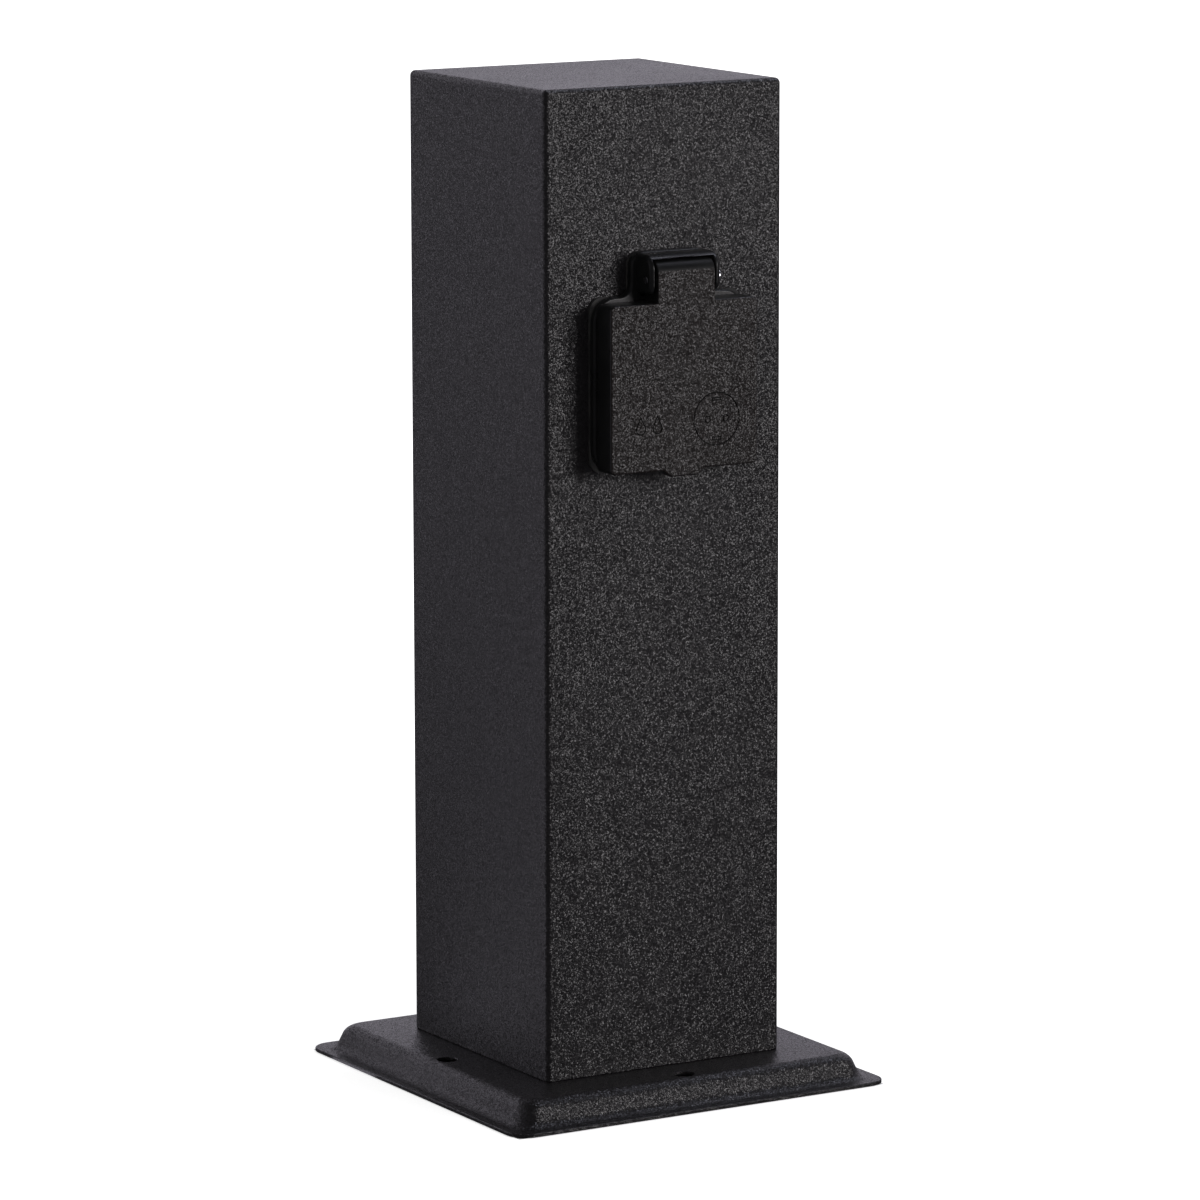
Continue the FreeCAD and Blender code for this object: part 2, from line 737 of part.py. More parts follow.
def make_frame():
    body = new_body("socket_frame")
    frame_plate(body, FRAME_BACK, S.frame_thickness)
    collar = front_sketch(body, "collar_outline", FRAME_FRONT)
    draw_circle(collar, 0, CENTRE, COLLAR_WIDTH)
    pad(body, "collar", collar, S.collar_reach)
    skirt = front_sketch(body, "skirt_outline", FRAME_BACK)
    draw_circle(skirt, 0, CENTRE, SKIRT_WIDTH)
    pad(body, "skirt", skirt, S.skirt_reach, backwards=True)
    hood_half = S.ear_inner + S.ear_thickness
    hood = new_sketch(body, "hood_outline", "YZ_Plane")
    draw_outline(hood, [(out(FRAME_FRONT), EAR_LOW), (out(EAR_FRONT), EAR_LOW),
                        (out(EAR_FRONT), EAR_HIGH), (out(FRAME_FRONT), EAR_HIGH)])
    solid = pad(body, "hood", hood, 2 * hood_half, both_ways=True)
    tip = float(out(EAR_FRONT))

    def at_front(middle, height):
        return abs(middle.y - tip) < NEAR and abs(middle.z - float(height)) < NEAR

    top = rounding(body, "hood_top_bend", solid,
                   lambda middle, box: at_front(middle, EAR_HIGH), S.ear_top_round)
    rounding(body, "hood_foot_bend", top,
             lambda middle, box: at_front(middle, EAR_LOW), S.ear_foot_round)
    room = new_sketch(body, "hood_room_outline", "YZ_Plane")
    draw_outline(room, [(out(FRAME_FRONT), EAR_LOW), (out(EAR_FRONT), EAR_LOW),
                        (out(EAR_FRONT), HOOD_UNDER), (out(FRAME_FRONT), HOOD_UNDER)])
    pocket(body, "hood_room", room, 2 * S.ear_inner, both_ways=True)
    bore = front_sketch(body, "frame_bore_outline", COLLAR_FRONT)
    draw_circle(bore, 0, CENTRE, CUP_WIDTH + 2 * S.fit_gap)
    pocket(body, "frame_bore", bore, COLLAR_FRONT - SKIRT_BACK)
    seat = front_sketch(body, "rim_seat_outline", COLLAR_FRONT)
    draw_circle(seat, 0, CENTRE, CUP_RIM + 2 * S.fit_gap)
    pocket(body, "rim_seat", seat, S.cup_rim_height)
    pin = new_sketch(body, "pin_hole_outline", "YZ_Plane")
    draw_circle(pin, out(HINGE_DEPTH), HINGE_Z, S.pin_size)
    pocket(body, "pin_holes", pin, 2 * (S.ear_inner + S.ear_thickness + S.fit_gap), both_ways=True)
    spots = front_sketch(body, "screw_hole_spots", FRAME_FRONT)
    for x, z in screw_spots():
        draw_circle(spots, x, z, S.frame_screw_size + 2 * S.fit_gap)
    before = body.Shape.Volume
    hole = body.newObject("PartDesign::Hole", "screw_holes")
    hole.Profile = spots
    hole.DepthType = "ThroughAll"
    bind(hole, "Diameter", S.frame_screw_size + 2 * S.fit_gap)
    hole.HoleCutType = "Countersink"
    bind(hole, "HoleCutDiameter", S.frame_screw_head + 2 * S.fit_gap)
    hole.HoleCutCountersinkAngle = 90
    doc.recompute()
    if body.Shape.Volume >= before:
        raise RuntimeError("the countersunk holes cut nothing")
    return body


# Screws of the frame, and the threaded inserts that they go into

def countersunk(label, way, start, width, head, length):
    """A countersunk screw whose flat head face is at the start."""
    shank = rod(f"{label}_shank", way, start, width, length)
    cone = taper(f"{label}_cone", way, start, head, width, (head - width) / 2)
    return joined(f"{label}_whole", shank, cone)


def cross_cut(label, x, face, z, head):
    """Two crossed slots in a head that faces the front."""
    long = head * CROSS_WIDTH / 2
    arm = long * CROSS_ARM
    deep = (face, face + head * CROSS_DEPTH)
    wide = block(f"{label}_cut_across", (x - long, x + long), deep, (z - arm, z + arm))
    tall = block(f"{label}_cut_down", (x - arm, x + arm), deep, (z - long, z + long))
    return wide, tall


def make_frame_screws():
    screws = []
    for number, (x, z) in enumerate(screw_spots(), start=1):
        label = f"frame_screw_{number}"
        face = out(FRAME_FRONT)
        whole = countersunk(label, "+Y", (x, face, z), S.frame_screw_size,
                            S.frame_screw_head, S.frame_screw_length)
        screws.append(minus(label, whole, *cross_cut(label, x, face, z, S.frame_screw_head)))
    return group("frame_screws", screws)


def make_rivet_nuts():
    nuts = []
    for number, (x, z) in enumerate(screw_spots(), start=1):
        start = (x, out(S.rivet_nut_flange_height), z)
        flange = rod(f"rivet_flange_{number}", "+Y", start, S.rivet_nut_flange, S.rivet_nut_flange_height)
        barrel = rod(f"rivet_barrel_{number}", "+Y", start, S.rivet_nut_body, S.rivet_nut_length)
        bulge_start = (x, out(-S.column_wall), z)
        bulge = rod(f"rivet_bulge_{number}", "+Y", bulge_start, S.rivet_nut_bulge,
                    S.rivet_nut_bulge_length)
        thread = rod(f"rivet_thread_{number}", "+Y", start, S.frame_screw_size, S.rivet_nut_length)
        whole = joined(f"rivet_nut_whole_{number}", flange, barrel, bulge)
        nuts.append(minus(f"rivet_nut_{number}", whole, thread))
    return group("rivet_nuts", nuts)


# Flap: a deep lid with a hinge tongue that turns on the pin, and a finger tab

def make_lid():
    body = new_body("flap_lid")
    face = front_sketch(body, "lid_outline", LID_BACK)
    draw_rounded(face, (-LID_HALF, LID_HALF), (LID_LOW, LID_TOP), S.lid_corner)
    pad(body, "lid_solid", face, S.lid_front - LID_BACK)
    tab = front_sketch(body, "tab_outline", S.lid_front)
    root = S.tab_root / 2
    foot = S.tab_foot / 2
    draw_outline(tab, [(-root, LID_LOW), (-foot, LID_LOW - S.tab_drop), (foot, LID_LOW - S.tab_drop),
                       (root, LID_LOW), (root, LID_LOW + S.lid_wall), (-root, LID_LOW + S.lid_wall)])
    pad(body, "finger_tab", tab, S.tab_depth, backwards=True)
    tongue = new_sketch(body, "tongue_outline", "YZ_Plane")
    draw_tongue(tongue, S.lid_front, TONGUE_TOP, S.tongue_round, S.tongue_radius,
                FRAME_FRONT + S.tongue_back_gap, LID_TOP - S.lid_wall)
    solid = pad(body, "tongue", tongue, TONGUE_WIDTH, both_ways=True)
    front = float(out(S.lid_front))
    rim = float(LID_HALF - S.lid_corner)
    centre = float(CENTRE)
    rounding(body, "lid_edges", solid,
             lambda middle, box: abs(box.YMin - front) < NEAR and abs(box.YMax - front) < NEAR
             and middle.z < float(LID_TOP) + NEAR
             and (abs(middle.x) > rim or abs(middle.z - centre) > rim),
             S.lid_edge)
    inside = LID_HALF - S.lid_wall
    cavity = front_sketch(body, "lid_cavity_outline", LID_BACK)
    draw_rounded(cavity, (-inside, inside), (CENTRE - inside, CENTRE + inside), S.lid_inner_corner)
    pocket(body, "lid_cavity", cavity, LID_INSIDE - LID_BACK, backwards=True)
    barrel = new_sketch(body, "tongue_cavity_outline", "YZ_Plane")
    thin = S.tongue_wall
    draw_tongue(barrel, S.lid_front - thin, TONGUE_TOP - thin, S.tongue_round - thin,
                S.tongue_radius - thin, FRAME_FRONT, CENTRE + inside)
    pocket(body, "tongue_cavity", barrel, TONGUE_WIDTH - 2 * S.tongue_cheek, both_ways=True)
    pin = new_sketch(body, "lid_pin_outline", "YZ_Plane")
    draw_circle(pin, out(HINGE_DEPTH), HINGE_Z, S.pin_size + 2 * S.pin_running_gap)
    pocket(body, "lid_pin_holes", pin, TONGUE_WIDTH + 2 * S.fit_gap, both_ways=True)
    return body


def draw_tongue(sketch, front, top, bend, radius, back, bottom):
    """The tongue seen from the side: flat front, a bend to the flat top, and a back that
    follows a circle round the hinge pin."""
    pin_y = float(out(HINGE_DEPTH))
    pin_z = float(HINGE_Z)
    rise = float(top) - pin_z
    r = float(radius)
    bend_y = float(out(front - bend))
    bend_z = float(top) - float(bend)
    flat_end = pin_y + math.sqrt(r * r - rise * rise)
    back_y = float(out(back))
    back_z = pin_z + math.sqrt(r * r - (back_y - pin_y) ** 2)
    front_y = float(out(front))
    low = float(bottom)
    edge_front = sketch.addGeometry(Part.LineSegment(spot(front_y, low), spot(front_y, bend_z)), False)
    corner = Part.Circle(spot(bend_y, bend_z), FreeCAD.Vector(0, 0, 1), float(bend))
    arc_bend = sketch.addGeometry(Part.ArcOfCircle(corner, math.pi / 2, math.pi), False)
    level_top = Part.LineSegment(spot(bend_y, top), spot(flat_end, top))
    edge_top = sketch.addGeometry(level_top, False)
    round_pin = Part.Circle(spot(pin_y, pin_z), FreeCAD.Vector(0, 0, 1), r)
    first = math.atan2(back_z - pin_z, back_y - pin_y)
    last = math.atan2(rise, flat_end - pin_y)
    arc_back = sketch.addGeometry(Part.ArcOfCircle(round_pin, first, last), False)
    edge_back = sketch.addGeometry(Part.LineSegment(spot(back_y, back_z), spot(back_y, low)), False)
    edge_low = sketch.addGeometry(Part.LineSegment(spot(back_y, low), spot(front_y, low)), False)
    constrain(sketch, "Tangent", edge_front, 2, arc_bend, 2)
    constrain(sketch, "Tangent", arc_bend, 1, edge_top, 1)
    constrain(sketch, "Coincident", edge_top, 2, arc_back, 2)
    constrain(sketch, "Coincident", arc_back, 1, edge_back, 1)
    constrain(sketch, "Coincident", edge_back, 2, edge_low, 1)
    constrain(sketch, "Coincident", edge_low, 2, edge_front, 1)
    constrain(sketch, "Vertical", edge_front)
    constrain(sketch, "Horizontal", edge_top)
    constrain(sketch, "Vertical", edge_back)
    constrain(sketch, "Horizontal", edge_low)
    pin_point(sketch, arc_back, 3, out(HINGE_DEPTH), HINGE_Z)
    constrain(sketch, "Radius", arc_back, size=radius)
    constrain(sketch, "Radius", arc_bend, size=bend)
    pin_point(sketch, edge_front, 1, out(front), bottom)
    constrain(sketch, "DistanceX", -1, 1, edge_back, 1, size=out(back))
    constrain(sketch, "DistanceY", -1, 1, edge_top, 1, size=top)


def ring(label, back, front, width, bore):
    """A flat ring round the socket's axis, between two depths."""
    start = (0, out(front), CENTRE)
    disc = rod(f"{label}_disc", "+Y", start, width, front - back)
    hole = rod(f"{label}_hole", "+Y", start, bore, front - back)
    return minus(label, disc, hole)


def make_lid_gasket():
    return ring("lid_gasket", COLLAR_FRONT + S.lid_seal_gap, LID_INSIDE,
                COLLAR_WIDTH + 2 * S.lid_seal_lip, COLLAR_WIDTH - 2 * S.lid_seal_overlap)


# Hinge pin with its head outside the right ear

def make_pin():
    ear_face = S.ear_inner + S.ear_thickness
    place = (out(HINGE_DEPTH), HINGE_Z)
    shaft = rod("pin_shaft", "+X", (-ear_face, *place), S.pin_size, 2 * ear_face)
    head = rod("pin_head", "+X", (ear_face, *place), S.pin_head, S.pin_head_height)
    return joined("hinge_pin", shaft, head)


# Tubes along straight runs, arcs and windings

def vector(x, y, z):
    return FreeCAD.Vector(float(x), float(y), float(z))


def sweep(label, wire, width):
    """A round bar along a wire, checked against its length."""
    start = wire.Edges[0].valueAt(wire.Edges[0].FirstParameter)
    along = wire.Edges[0].tangentAt(wire.Edges[0].FirstParameter)
    circle = Part.Wire([Part.makeCircle(float(width) / 2, start, along)])
    shape = wire.makePipeShell([circle], True, False)
    ideal = math.pi * float(width) ** 2 / 4 * wire.Length
    print(f"{label}: length {wire.Length:.1f}, volume to section times length {shape.Volume / ideal:.4f}")
    thing = doc.addObject("Part::Feature", label)
    thing.Shape = shape
    return thing


def rounded_route(label, points):
    """Straight runs joined by arcs as large as the runs allow."""
    edges = []
    radii = []
    last = points[0]
    for before, here, after in zip(points, points[1:], points[2:]):
        arriving = (here - before).normalize()
        leaving = (after - here).normalize()
        turn = arriving.getAngle(leaving)
        shorter = min((here - before).Length, (after - here).Length)
        reach = 0.45 * shorter
        radii.append(reach / math.tan(turn / 2))
        first = here - arriving * reach
        end = here + leaving * reach
        inward = (leaving - arriving).normalize()
        depth = radii[-1] * (1 / math.cos(turn / 2) - 1)
        edges.append(Part.LineSegment(last, first).toShape())
        edges.append(Part.Arc(first, here + inward * depth, end).toShape())
        last = end
    edges.append(Part.LineSegment(last, points[-1]).toShape())
    if radii:
        print(f"{label} bend radii:", ", ".join(f"{radius:.1f}" for radius in radii))
    return Part.Wire(edges)


def biarc(start, start_way, end, end_way):
    """Two arcs that leave start and reach end in the given directions."""
    gap = end - start
    ways = start_way + end_way
    spread = 2 * (1 - start_way.dot(end_way))
    along = gap.dot(ways)
    reach = (math.sqrt(along * along + spread * gap.dot(gap)) - along) / spread
    near = start + start_way * reach
    far = end - end_way * reach
    middle = (near + far) / 2
    return [tangent_arc(start, near, middle), tangent_arc(middle, far, end)]


def tangent_arc(first, corner, last):
    chord = (first + last) / 2
    half = (last - first).Length / 2
    height = (corner - chord).Length
    radius = half * (corner - first).Length / height
    sag = radius - math.sqrt(radius * radius - half * half)
    return Part.Arc(first, chord + (corner - chord).normalize() * sag, last).toShape()


# Closing spring: one wire wound round the pin, one leg on the frame and one in the lid

def make_spring():
    radius = float(S.spring_radius)
    pitch = float(S.spring_pitch)
    quarters = int(float(S.spring_turns)) * 4 + 2
    pin_y = float(out(HINGE_DEPTH))
    pin_z = float(HINGE_Z)
    slope = math.atan2(pitch, 2 * math.pi * radius)

    def place(quarter):
        angle = math.pi - quarter * math.pi / 2
        x = pitch * (quarter - quarters / 2) / 4
        return FreeCAD.Vector(x, pin_y + radius * math.cos(angle), pin_z + radius * math.sin(angle))

    def way(quarter):
        angle = math.pi - quarter * math.pi / 2
        side = math.cos(slope)
        return FreeCAD.Vector(math.sin(slope), side * math.sin(angle), -side * math.cos(angle))

    coil = []
    for quarter in range(quarters):
        coil.extend(biarc(place(quarter), way(quarter), place(quarter + 1), way(quarter + 1)))
    leg = float(S.spring_leg)
    lid_leg = Part.LineSegment(place(0) - way(0) * leg, place(0)).toShape()
    bend = place(quarters) + way(quarters) * (leg / 2)
    rest_y = float(out(FRAME_FRONT + S.spring_wire / 2 + S.fit_gap))
    foot = FreeCAD.Vector(bend.x, rest_y, float(WINDOW_LOW - S.spring_foot))
    frame_leg = rounded_route("hinge_spring leg", [place(quarters), bend, foot])
    middles = [edge.valueAt((edge.FirstParameter + edge.LastParameter) / 2) for edge in coil]
    turn = 8
    gap = min((low - high).Length for low, high in zip(middles, middles[turn:])) - float(S.spring_wire)
    print(f"hinge_spring: least gap between turns {gap:.2f}")
    return sweep("hinge_spring", Part.Wire([lid_leg, *coil, *frame_leg.Edges]), S.spring_wire)


# Plug recess

def make_cup():
    body = new_body("socket_cup")
    tube = front_sketch(body, "cup_outline", CUP_BACK)
    draw_circle(tube, 0, CENTRE, CUP_WIDTH)
    pad(body, "cup_tube", tube, COLLAR_FRONT - CUP_BACK)
    rim = front_sketch(body, "cup_rim_outline", COLLAR_FRONT)
    draw_circle(rim, 0, CENTRE, CUP_RIM)
    pad(body, "cup_rim", rim, S.cup_rim_height, backwards=True)
    recess = front_sketch(body, "recess_outline", COLLAR_FRONT)
    draw_circle(recess, 0, CENTRE, S.recess_width)
    pocket(body, "recess", recess, S.recess_depth)
    guides = front_sketch(body, "guide_outline", CUP_FLOOR)
    for side in (-1, 1):
        near = (S.recess_width / 2 - S.guide_height) * side
        far = CLIP_LINE * side
        low = CENTRE - S.guide_width / 2
        high = CENTRE + S.guide_width / 2
        x = (near, far) if side > 0 else (far, near)
        draw_outline(guides, [(x[0], low), (x[1], low), (x[1], high), (x[0], high)])
    pad(body, "guides", guides, S.recess_depth - S.guide_height)
    slots = front_sketch(body, "clip_slot_outline", CUP_BACK)
    half = CLIP_SLOT / 2
    inner = S.recess_width / 2 - S.guide_height / 2
    outer = CUP_WIDTH / 2 + S.cup_wall
    for low, high in ((CENTRE + inner, CENTRE + outer), (CENTRE - outer, CENTRE - inner)):
        draw_outline(slots, [(-half, low), (half, low), (half, high), (-half, high)])
    pocket(body, "clip_slots", slots, S.recess_depth, backwards=True)
    holes = front_sketch(body, "cup_hole_outline", CUP_FLOOR)
    for side in (-1, 1):
        draw_circle(holes, PIN_X * side, CENTRE, S.pin_hole)
    draw_circle(holes, 0, CENTRE, S.centre_screw_size + 2 * S.fit_gap)
    pocket(body, "cup_holes", holes, S.cup_floor)
    sink = taper("centre_sink", "+Y", (0, out(CUP_FLOOR), CENTRE), S.centre_screw_head + 2 * S.fit_gap,
                 S.centre_screw_size + 2 * S.fit_gap, (S.centre_screw_head - S.centre_screw_size) / 2)
    body.Label = "cup_without_sink"
    return minus("socket_cup", body, sink)


# Contact carrier behind the recess

def make_carrier():
    body = new_body("contact_carrier")
    disc = front_sketch(body, "carrier_disc_outline", SKIRT_BACK)
    draw_circle(disc, 0, CENTRE, SKIRT_WIDTH)
    pad(body, "carrier_disc", disc, S.carrier_disc, backwards=True)
    rear = front_sketch(body, "carrier_block_outline", SKIRT_BACK)
    chamber_end = CUBE_X + S.cube_size / 2 + S.chamber_gap
    wide = chamber_end + S.chamber_wall
    draw_rounded(rear, (-wide, wide), (CENTRE - BLOCK_HALF, CENTRE + BLOCK_HALF), S.carrier_corner)
    pad(body, "carrier_block", rear, S.carrier_depth, backwards=True)
    seat = front_sketch(body, "carrier_seat_outline", SKIRT_BACK)
    draw_circle(seat, 0, CENTRE, CUP_WIDTH + 2 * S.fit_gap)
    pocket(body, "carrier_seat", seat, SKIRT_BACK - CUP_BACK)
    chambers = front_sketch(body, "chamber_outline", BLOCK_BACK)
    low = CENTRE - CHAMBER_HALF
    high = CENTRE + CHAMBER_HALF
    for side in (-1, 1):
        near = (PIN_X - SLEEVE_HALF - S.chamber_gap) * side
        far = chamber_end * side
        x = (near, far) if side > 0 else (far, near)
        draw_outline(chambers, [(x[0], low), (x[1], low), (x[1], high), (x[0], high)])
    pocket(body, "chambers", chambers, CUP_BACK - S.carrier_web - BLOCK_BACK, backwards=True)
    holes = front_sketch(body, "carrier_hole_outline", CUP_BACK)
    for side in (-1, 1):
        draw_circle(holes, PIN_X * side, CENTRE, S.pin_hole)
    pocket(body, "carrier_pin_holes", holes, S.carrier_web)
    screw = front_sketch(body, "carrier_screw_outline", CUP_BACK)
    draw_circle(screw, 0, CENTRE, S.centre_screw_size)
    pocket(body, "carrier_screw_hole", screw, S.centre_screw_length)
    slots = front_sketch(body, "carrier_slot_outline", SKIRT_BACK)
    slot = CLIP_SLOT / 2
    for side in (-1, 1):
        low = CENTRE + CLIP_LINE * side - S.clip_thickness
        high = CENTRE + CLIP_LINE * side + S.clip_thickness
        draw_outline(slots, [(-slot, low), (slot, low), (slot, high), (-slot, high)])
    pocket(body, "carrier_slots", slots, S.carrier_disc)
    entries = new_sketch(body, "wire_entry_outline", "XY_Plane", CENTRE - BLOCK_HALF)
    for side in (-1, 1):
        draw_circle(entries, CUBE_X * side, out(WIRE_ENTRY), S.wire_size + 2 * S.wire_entry_room)
    pocket(body, "wire_entries", entries, S.carrier_cheek, backwards=True)
    return body


# Contacts: a slit sleeve for the plug's pin, and a terminal cube beside it

def cube(label, x, y, z, entry):
    """A terminal cube with a wire hole from below and a screw hole from behind."""
    size = S.cube_size
    body = block(f"{label}_cube", (x - size / 2, x + size / 2), (y - size, y), z)
    wire = rod(f"{label}_wire_hole", "+Z", (x, entry, z[0]), S.wire_size + 2 * S.fit_gap,
               S.cube_wire_hole)
    screw = rod(f"{label}_screw_hole", "-Y", (x, y, (z[0] + z[1]) / 2), S.clamp_screw_size, y - entry)
    return body, wire, screw


def make_contact(label, side):
    x = PIN_X * side
    front = CUP_BACK - S.carrier_web - S.fit_gap
    start = (x, out(front), CENTRE)
    sleeve = rod(f"{label}_sleeve", "+Y", start, 2 * SLEEVE_HALF, S.contact_length)
    body, wire, screw = cube(label, CUBE_X * side, out(CUBE_BEHIND), CUBE_Z, out(WIRE_ENTRY))
    whole = joined(f"{label}_whole", sleeve, body)
    bore = rod(f"{label}_bore", "+Y", start, S.contact_bore, S.contact_length)
    wide = 2 * SLEEVE_HALF
    reach = (x - wide, x) if side > 0 else (x, x + wide)
    half = S.contact_slit / 2
    slit = block(f"{label}_slit", reach, (out(front), out(front) + S.contact_length),
                 (CENTRE - half, CENTRE + half))
    return minus(label, whole, bore, slit, wire, screw)


# Earth strip: a flat strip behind the carrier whose two arms reach into the recess

def make_earth_bracket():
    body = new_body("earth_bracket")
    profile = new_sketch(body, "strip_outline", "YZ_Plane", -S.clip_width / 2)
    thick = S.clip_thickness
    line = CLIP_LINE
    bump = line - S.clip_bump
    knee = CUP_FLOOR + S.clip_knee
    peak = CUP_FLOOR + S.clip_peak
    tip = CUP_FLOOR + S.clip_tip
    upper = [(STRAP_BACK, line + thick / 2), (knee, line + thick / 2), (peak, bump + thick / 2),
             (tip, line + thick / 2), (tip, line - thick / 2), (peak, bump - thick / 2),
             (knee, line - thick / 2), (BLOCK_BACK, line - thick / 2)]
    points = [(out(depth), CENTRE + rise) for depth, rise in upper]
    points += [(out(depth), CENTRE - rise) for depth, rise in reversed(upper)]
    draw_outline(profile, points)
    pad(body, "strip", profile, S.clip_width)
    return body


def make_earth_clamp():
    label = "earth_clamp"
    y = out(STRAP_BACK) + S.cube_size
    body, wire, screw = cube(label, as_size(0), y, CUBE_Z, out(STRAP_BACK) + S.cube_size / 2)
    return minus(label, body, wire, screw)


def make_socket_terminal_screws():
    screws = []
    tip = S.wire_size / 2 + S.fit_gap
    places = [(CUBE_X * side, out(WIRE_ENTRY), out(CUBE_BEHIND)) for side in (-1, 1)]
    earth_entry = out(STRAP_BACK) + S.cube_size / 2
    places.append((as_size(0), earth_entry, out(STRAP_BACK) + S.cube_size))
    for number, (x, entry, face) in enumerate(places, start=1):
        label = f"clamp_screw_{number}"
        shank = rod(f"{label}_shank", "+Y", (x, entry + tip, CENTRE), S.clamp_screw_size,
                    face - entry - tip)
        head = rod(f"{label}_head", "+Y", (x, face, CENTRE), S.clamp_screw_head,
                   S.clamp_screw_head_height)
        whole = joined(f"{label}_whole", shank, head)
        top = face + S.clamp_screw_head_height
        slot = block(f"{label}_slot", (x - S.clamp_screw_head / 2, x + S.clamp_screw_head / 2),
                     (top - S.clamp_screw_head_height / 2, top),
                     (CENTRE - S.clamp_screw_slot / 2, CENTRE + S.clamp_screw_slot / 2))
        screws.append(minus(label, whole, slot))
    return group("socket_terminal_screws", screws)


def make_centre_screw():
    start = (as_size(0), out(CUP_FLOOR), CENTRE)
    whole = countersunk("centre_screw", "+Y", start, S.centre_screw_size, S.centre_screw_head,
                        S.centre_screw_length)
    cuts = cross_cut("centre_screw", *start, S.centre_screw_head)
    return minus("centre_screw", whole, *cuts)


# Supply terminals on a bracket inside the right wall

BLOCK_Z = (S.block_bottom, S.block_bottom + S.block_height)
BLOCK_X = (BLOCK_FACE - S.block_depth, BLOCK_FACE)
SLEEVE_LOW = S.block_bottom + (S.block_height - S.sleeve_length) / 2
POLES = {"live": -1, "neutral": 0, "earth": 1}


def pole_y(name):
    return S.pole_spacing * POLES[name]


def make_bracket():
    half = S.bracket_width / 2
    plate = block("bracket_plate", (BLOCK_FACE, INNER), (-half, half),
                  (S.bracket_bottom, S.bracket_bottom + S.bracket_height))
    holes = []
    for number, z in enumerate(block_screw_heights(), start=1):
        holes.append(rod(f"bracket_hole_{number}", "+X", (BLOCK_FACE, S.pole_spacing / 2, z),
                         S.pole_screw_size, S.bracket_thickness))
    return minus("terminal_bracket", plate, *holes)


def block_screw_heights():
    middle = S.block_bottom + S.block_height / 2
    return middle - S.block_screw_spacing / 2, middle + S.block_screw_spacing / 2


def make_terminal_block():
    half = S.block_width / 2
    whole = block("block_whole", BLOCK_X, (-half, half), BLOCK_Z)
    cuts = []
    for name in POLES:
        start = (POLE_X, pole_y(name), S.block_bottom)
        cuts.append(rod(f"{name}_pole_hole", "+Z", start, POLE_SLEEVE + 2 * S.fit_gap, S.block_height))
        for number, z in enumerate(pole_screw_heights(), start=1):
            cuts.append(rod(f"{name}_funnel_{number}", "+X", (BLOCK_X[0], pole_y(name), z),
                            S.pole_screw_size + 2 * S.pole_funnel_gap, S.block_depth / 2))
    for number, z in enumerate(block_screw_heights(), start=1):
        cuts.append(rod(f"block_fixing_{number}", "+X", (BLOCK_X[0], S.pole_spacing / 2, z),
                        S.pole_screw_size + 2 * S.fit_gap, S.block_depth))
    return minus("terminal_block", whole, *cuts)


def pole_screw_heights():
    middle = S.block_bottom + S.block_height / 2
    return middle - S.pole_screw_offset, middle + S.pole_screw_offset


def make_sleeves():
    sleeves = []
    for name in POLES:
        start = (POLE_X, pole_y(name), SLEEVE_LOW)
        outer = rod(f"{name}_sleeve_outer", "+Z", start, POLE_SLEEVE, S.sleeve_length)
        cuts = [rod(f"{name}_sleeve_bore", "+Z", start, POLE_BORE, S.sleeve_length)]
        for number, z in enumerate(pole_screw_heights(), start=1):
            cuts.append(rod(f"{name}_sleeve_thread_{number}", "-X", (POLE_X, pole_y(name), z),
                            S.pole_screw_size, POLE_SLEEVE))
        sleeves.append(minus(f"{name}_sleeve", outer, *cuts))
    return group("terminal_sleeves", sleeves)


def make_pole_screws():
    screws = []
    for name in POLES:
        for number, z in enumerate(pole_screw_heights(), start=1):
            label = f"{name}_pole_screw_{number}"
            tip = POLE_X - S.wire_size / 2 - S.fit_gap
            head = BLOCK_X[0] + S.pole_screw_sink
            whole = rod(f"{label}_body", "-X", (tip, pole_y(name), z), S.pole_screw_size, tip - head)
            slot = block(f"{label}_slot", (head, head + S.pole_screw_sink),
                         (pole_y(name) - S.pole_screw_size / 2, pole_y(name) + S.pole_screw_size / 2),
                         (z - S.pole_screw_slot / 2, z + S.pole_screw_slot / 2))
            screws.append(minus(label, whole, slot))
    return group("terminal_screws", screws)


def make_block_screws():
    screws = []
    for number, z in enumerate(block_screw_heights(), start=1):
        label = f"block_screw_{number}"
        face = (BLOCK_X[0], S.pole_spacing / 2, z)
        shank = rod(f"{label}_shank", "+X", face, S.pole_screw_size, S.block_depth + S.bracket_thickness)
        head = rod(f"{label}_head", "-X", face, S.block_screw_head, S.block_screw_head_height)
        screws.append(joined(label, shank, head))
    return group("block_screws", screws)


# Earth point of the column: stud, nut and ring terminal

STUD_Y = S.pole_spacing


def make_stud():
    face = (BLOCK_FACE, STUD_Y, S.stud_height)
    return name_it(rod("earth_stud_body", "-X", face, S.stud_size, S.stud_length), "earth_stud")


RING_FACE = BLOCK_FACE - S.ring_thickness


def make_nut():
    nut = doc.addObject("Part::Prism", "nut_hexagon")
    nut.Polygon = 6
    bind(nut, "Circumradius", S.nut_width / math.sqrt(3))
    bind(nut, "Height", S.nut_height)
    nut.Placement.Rotation = TURNS["-X"]
    put(nut, RING_FACE, STUD_Y, S.stud_height)
    thread = rod("nut_thread", "-X", (RING_FACE, STUD_Y, S.stud_height), S.stud_size, S.nut_height)
    return minus("earth_nut", nut, thread)


BARREL_X = BLOCK_FACE - RING_BARREL / 2
BARREL_LOW = S.stud_height + S.ring_width / 2 + S.ring_shoulder
BARREL_HIGH = BARREL_LOW + S.ring_barrel_length


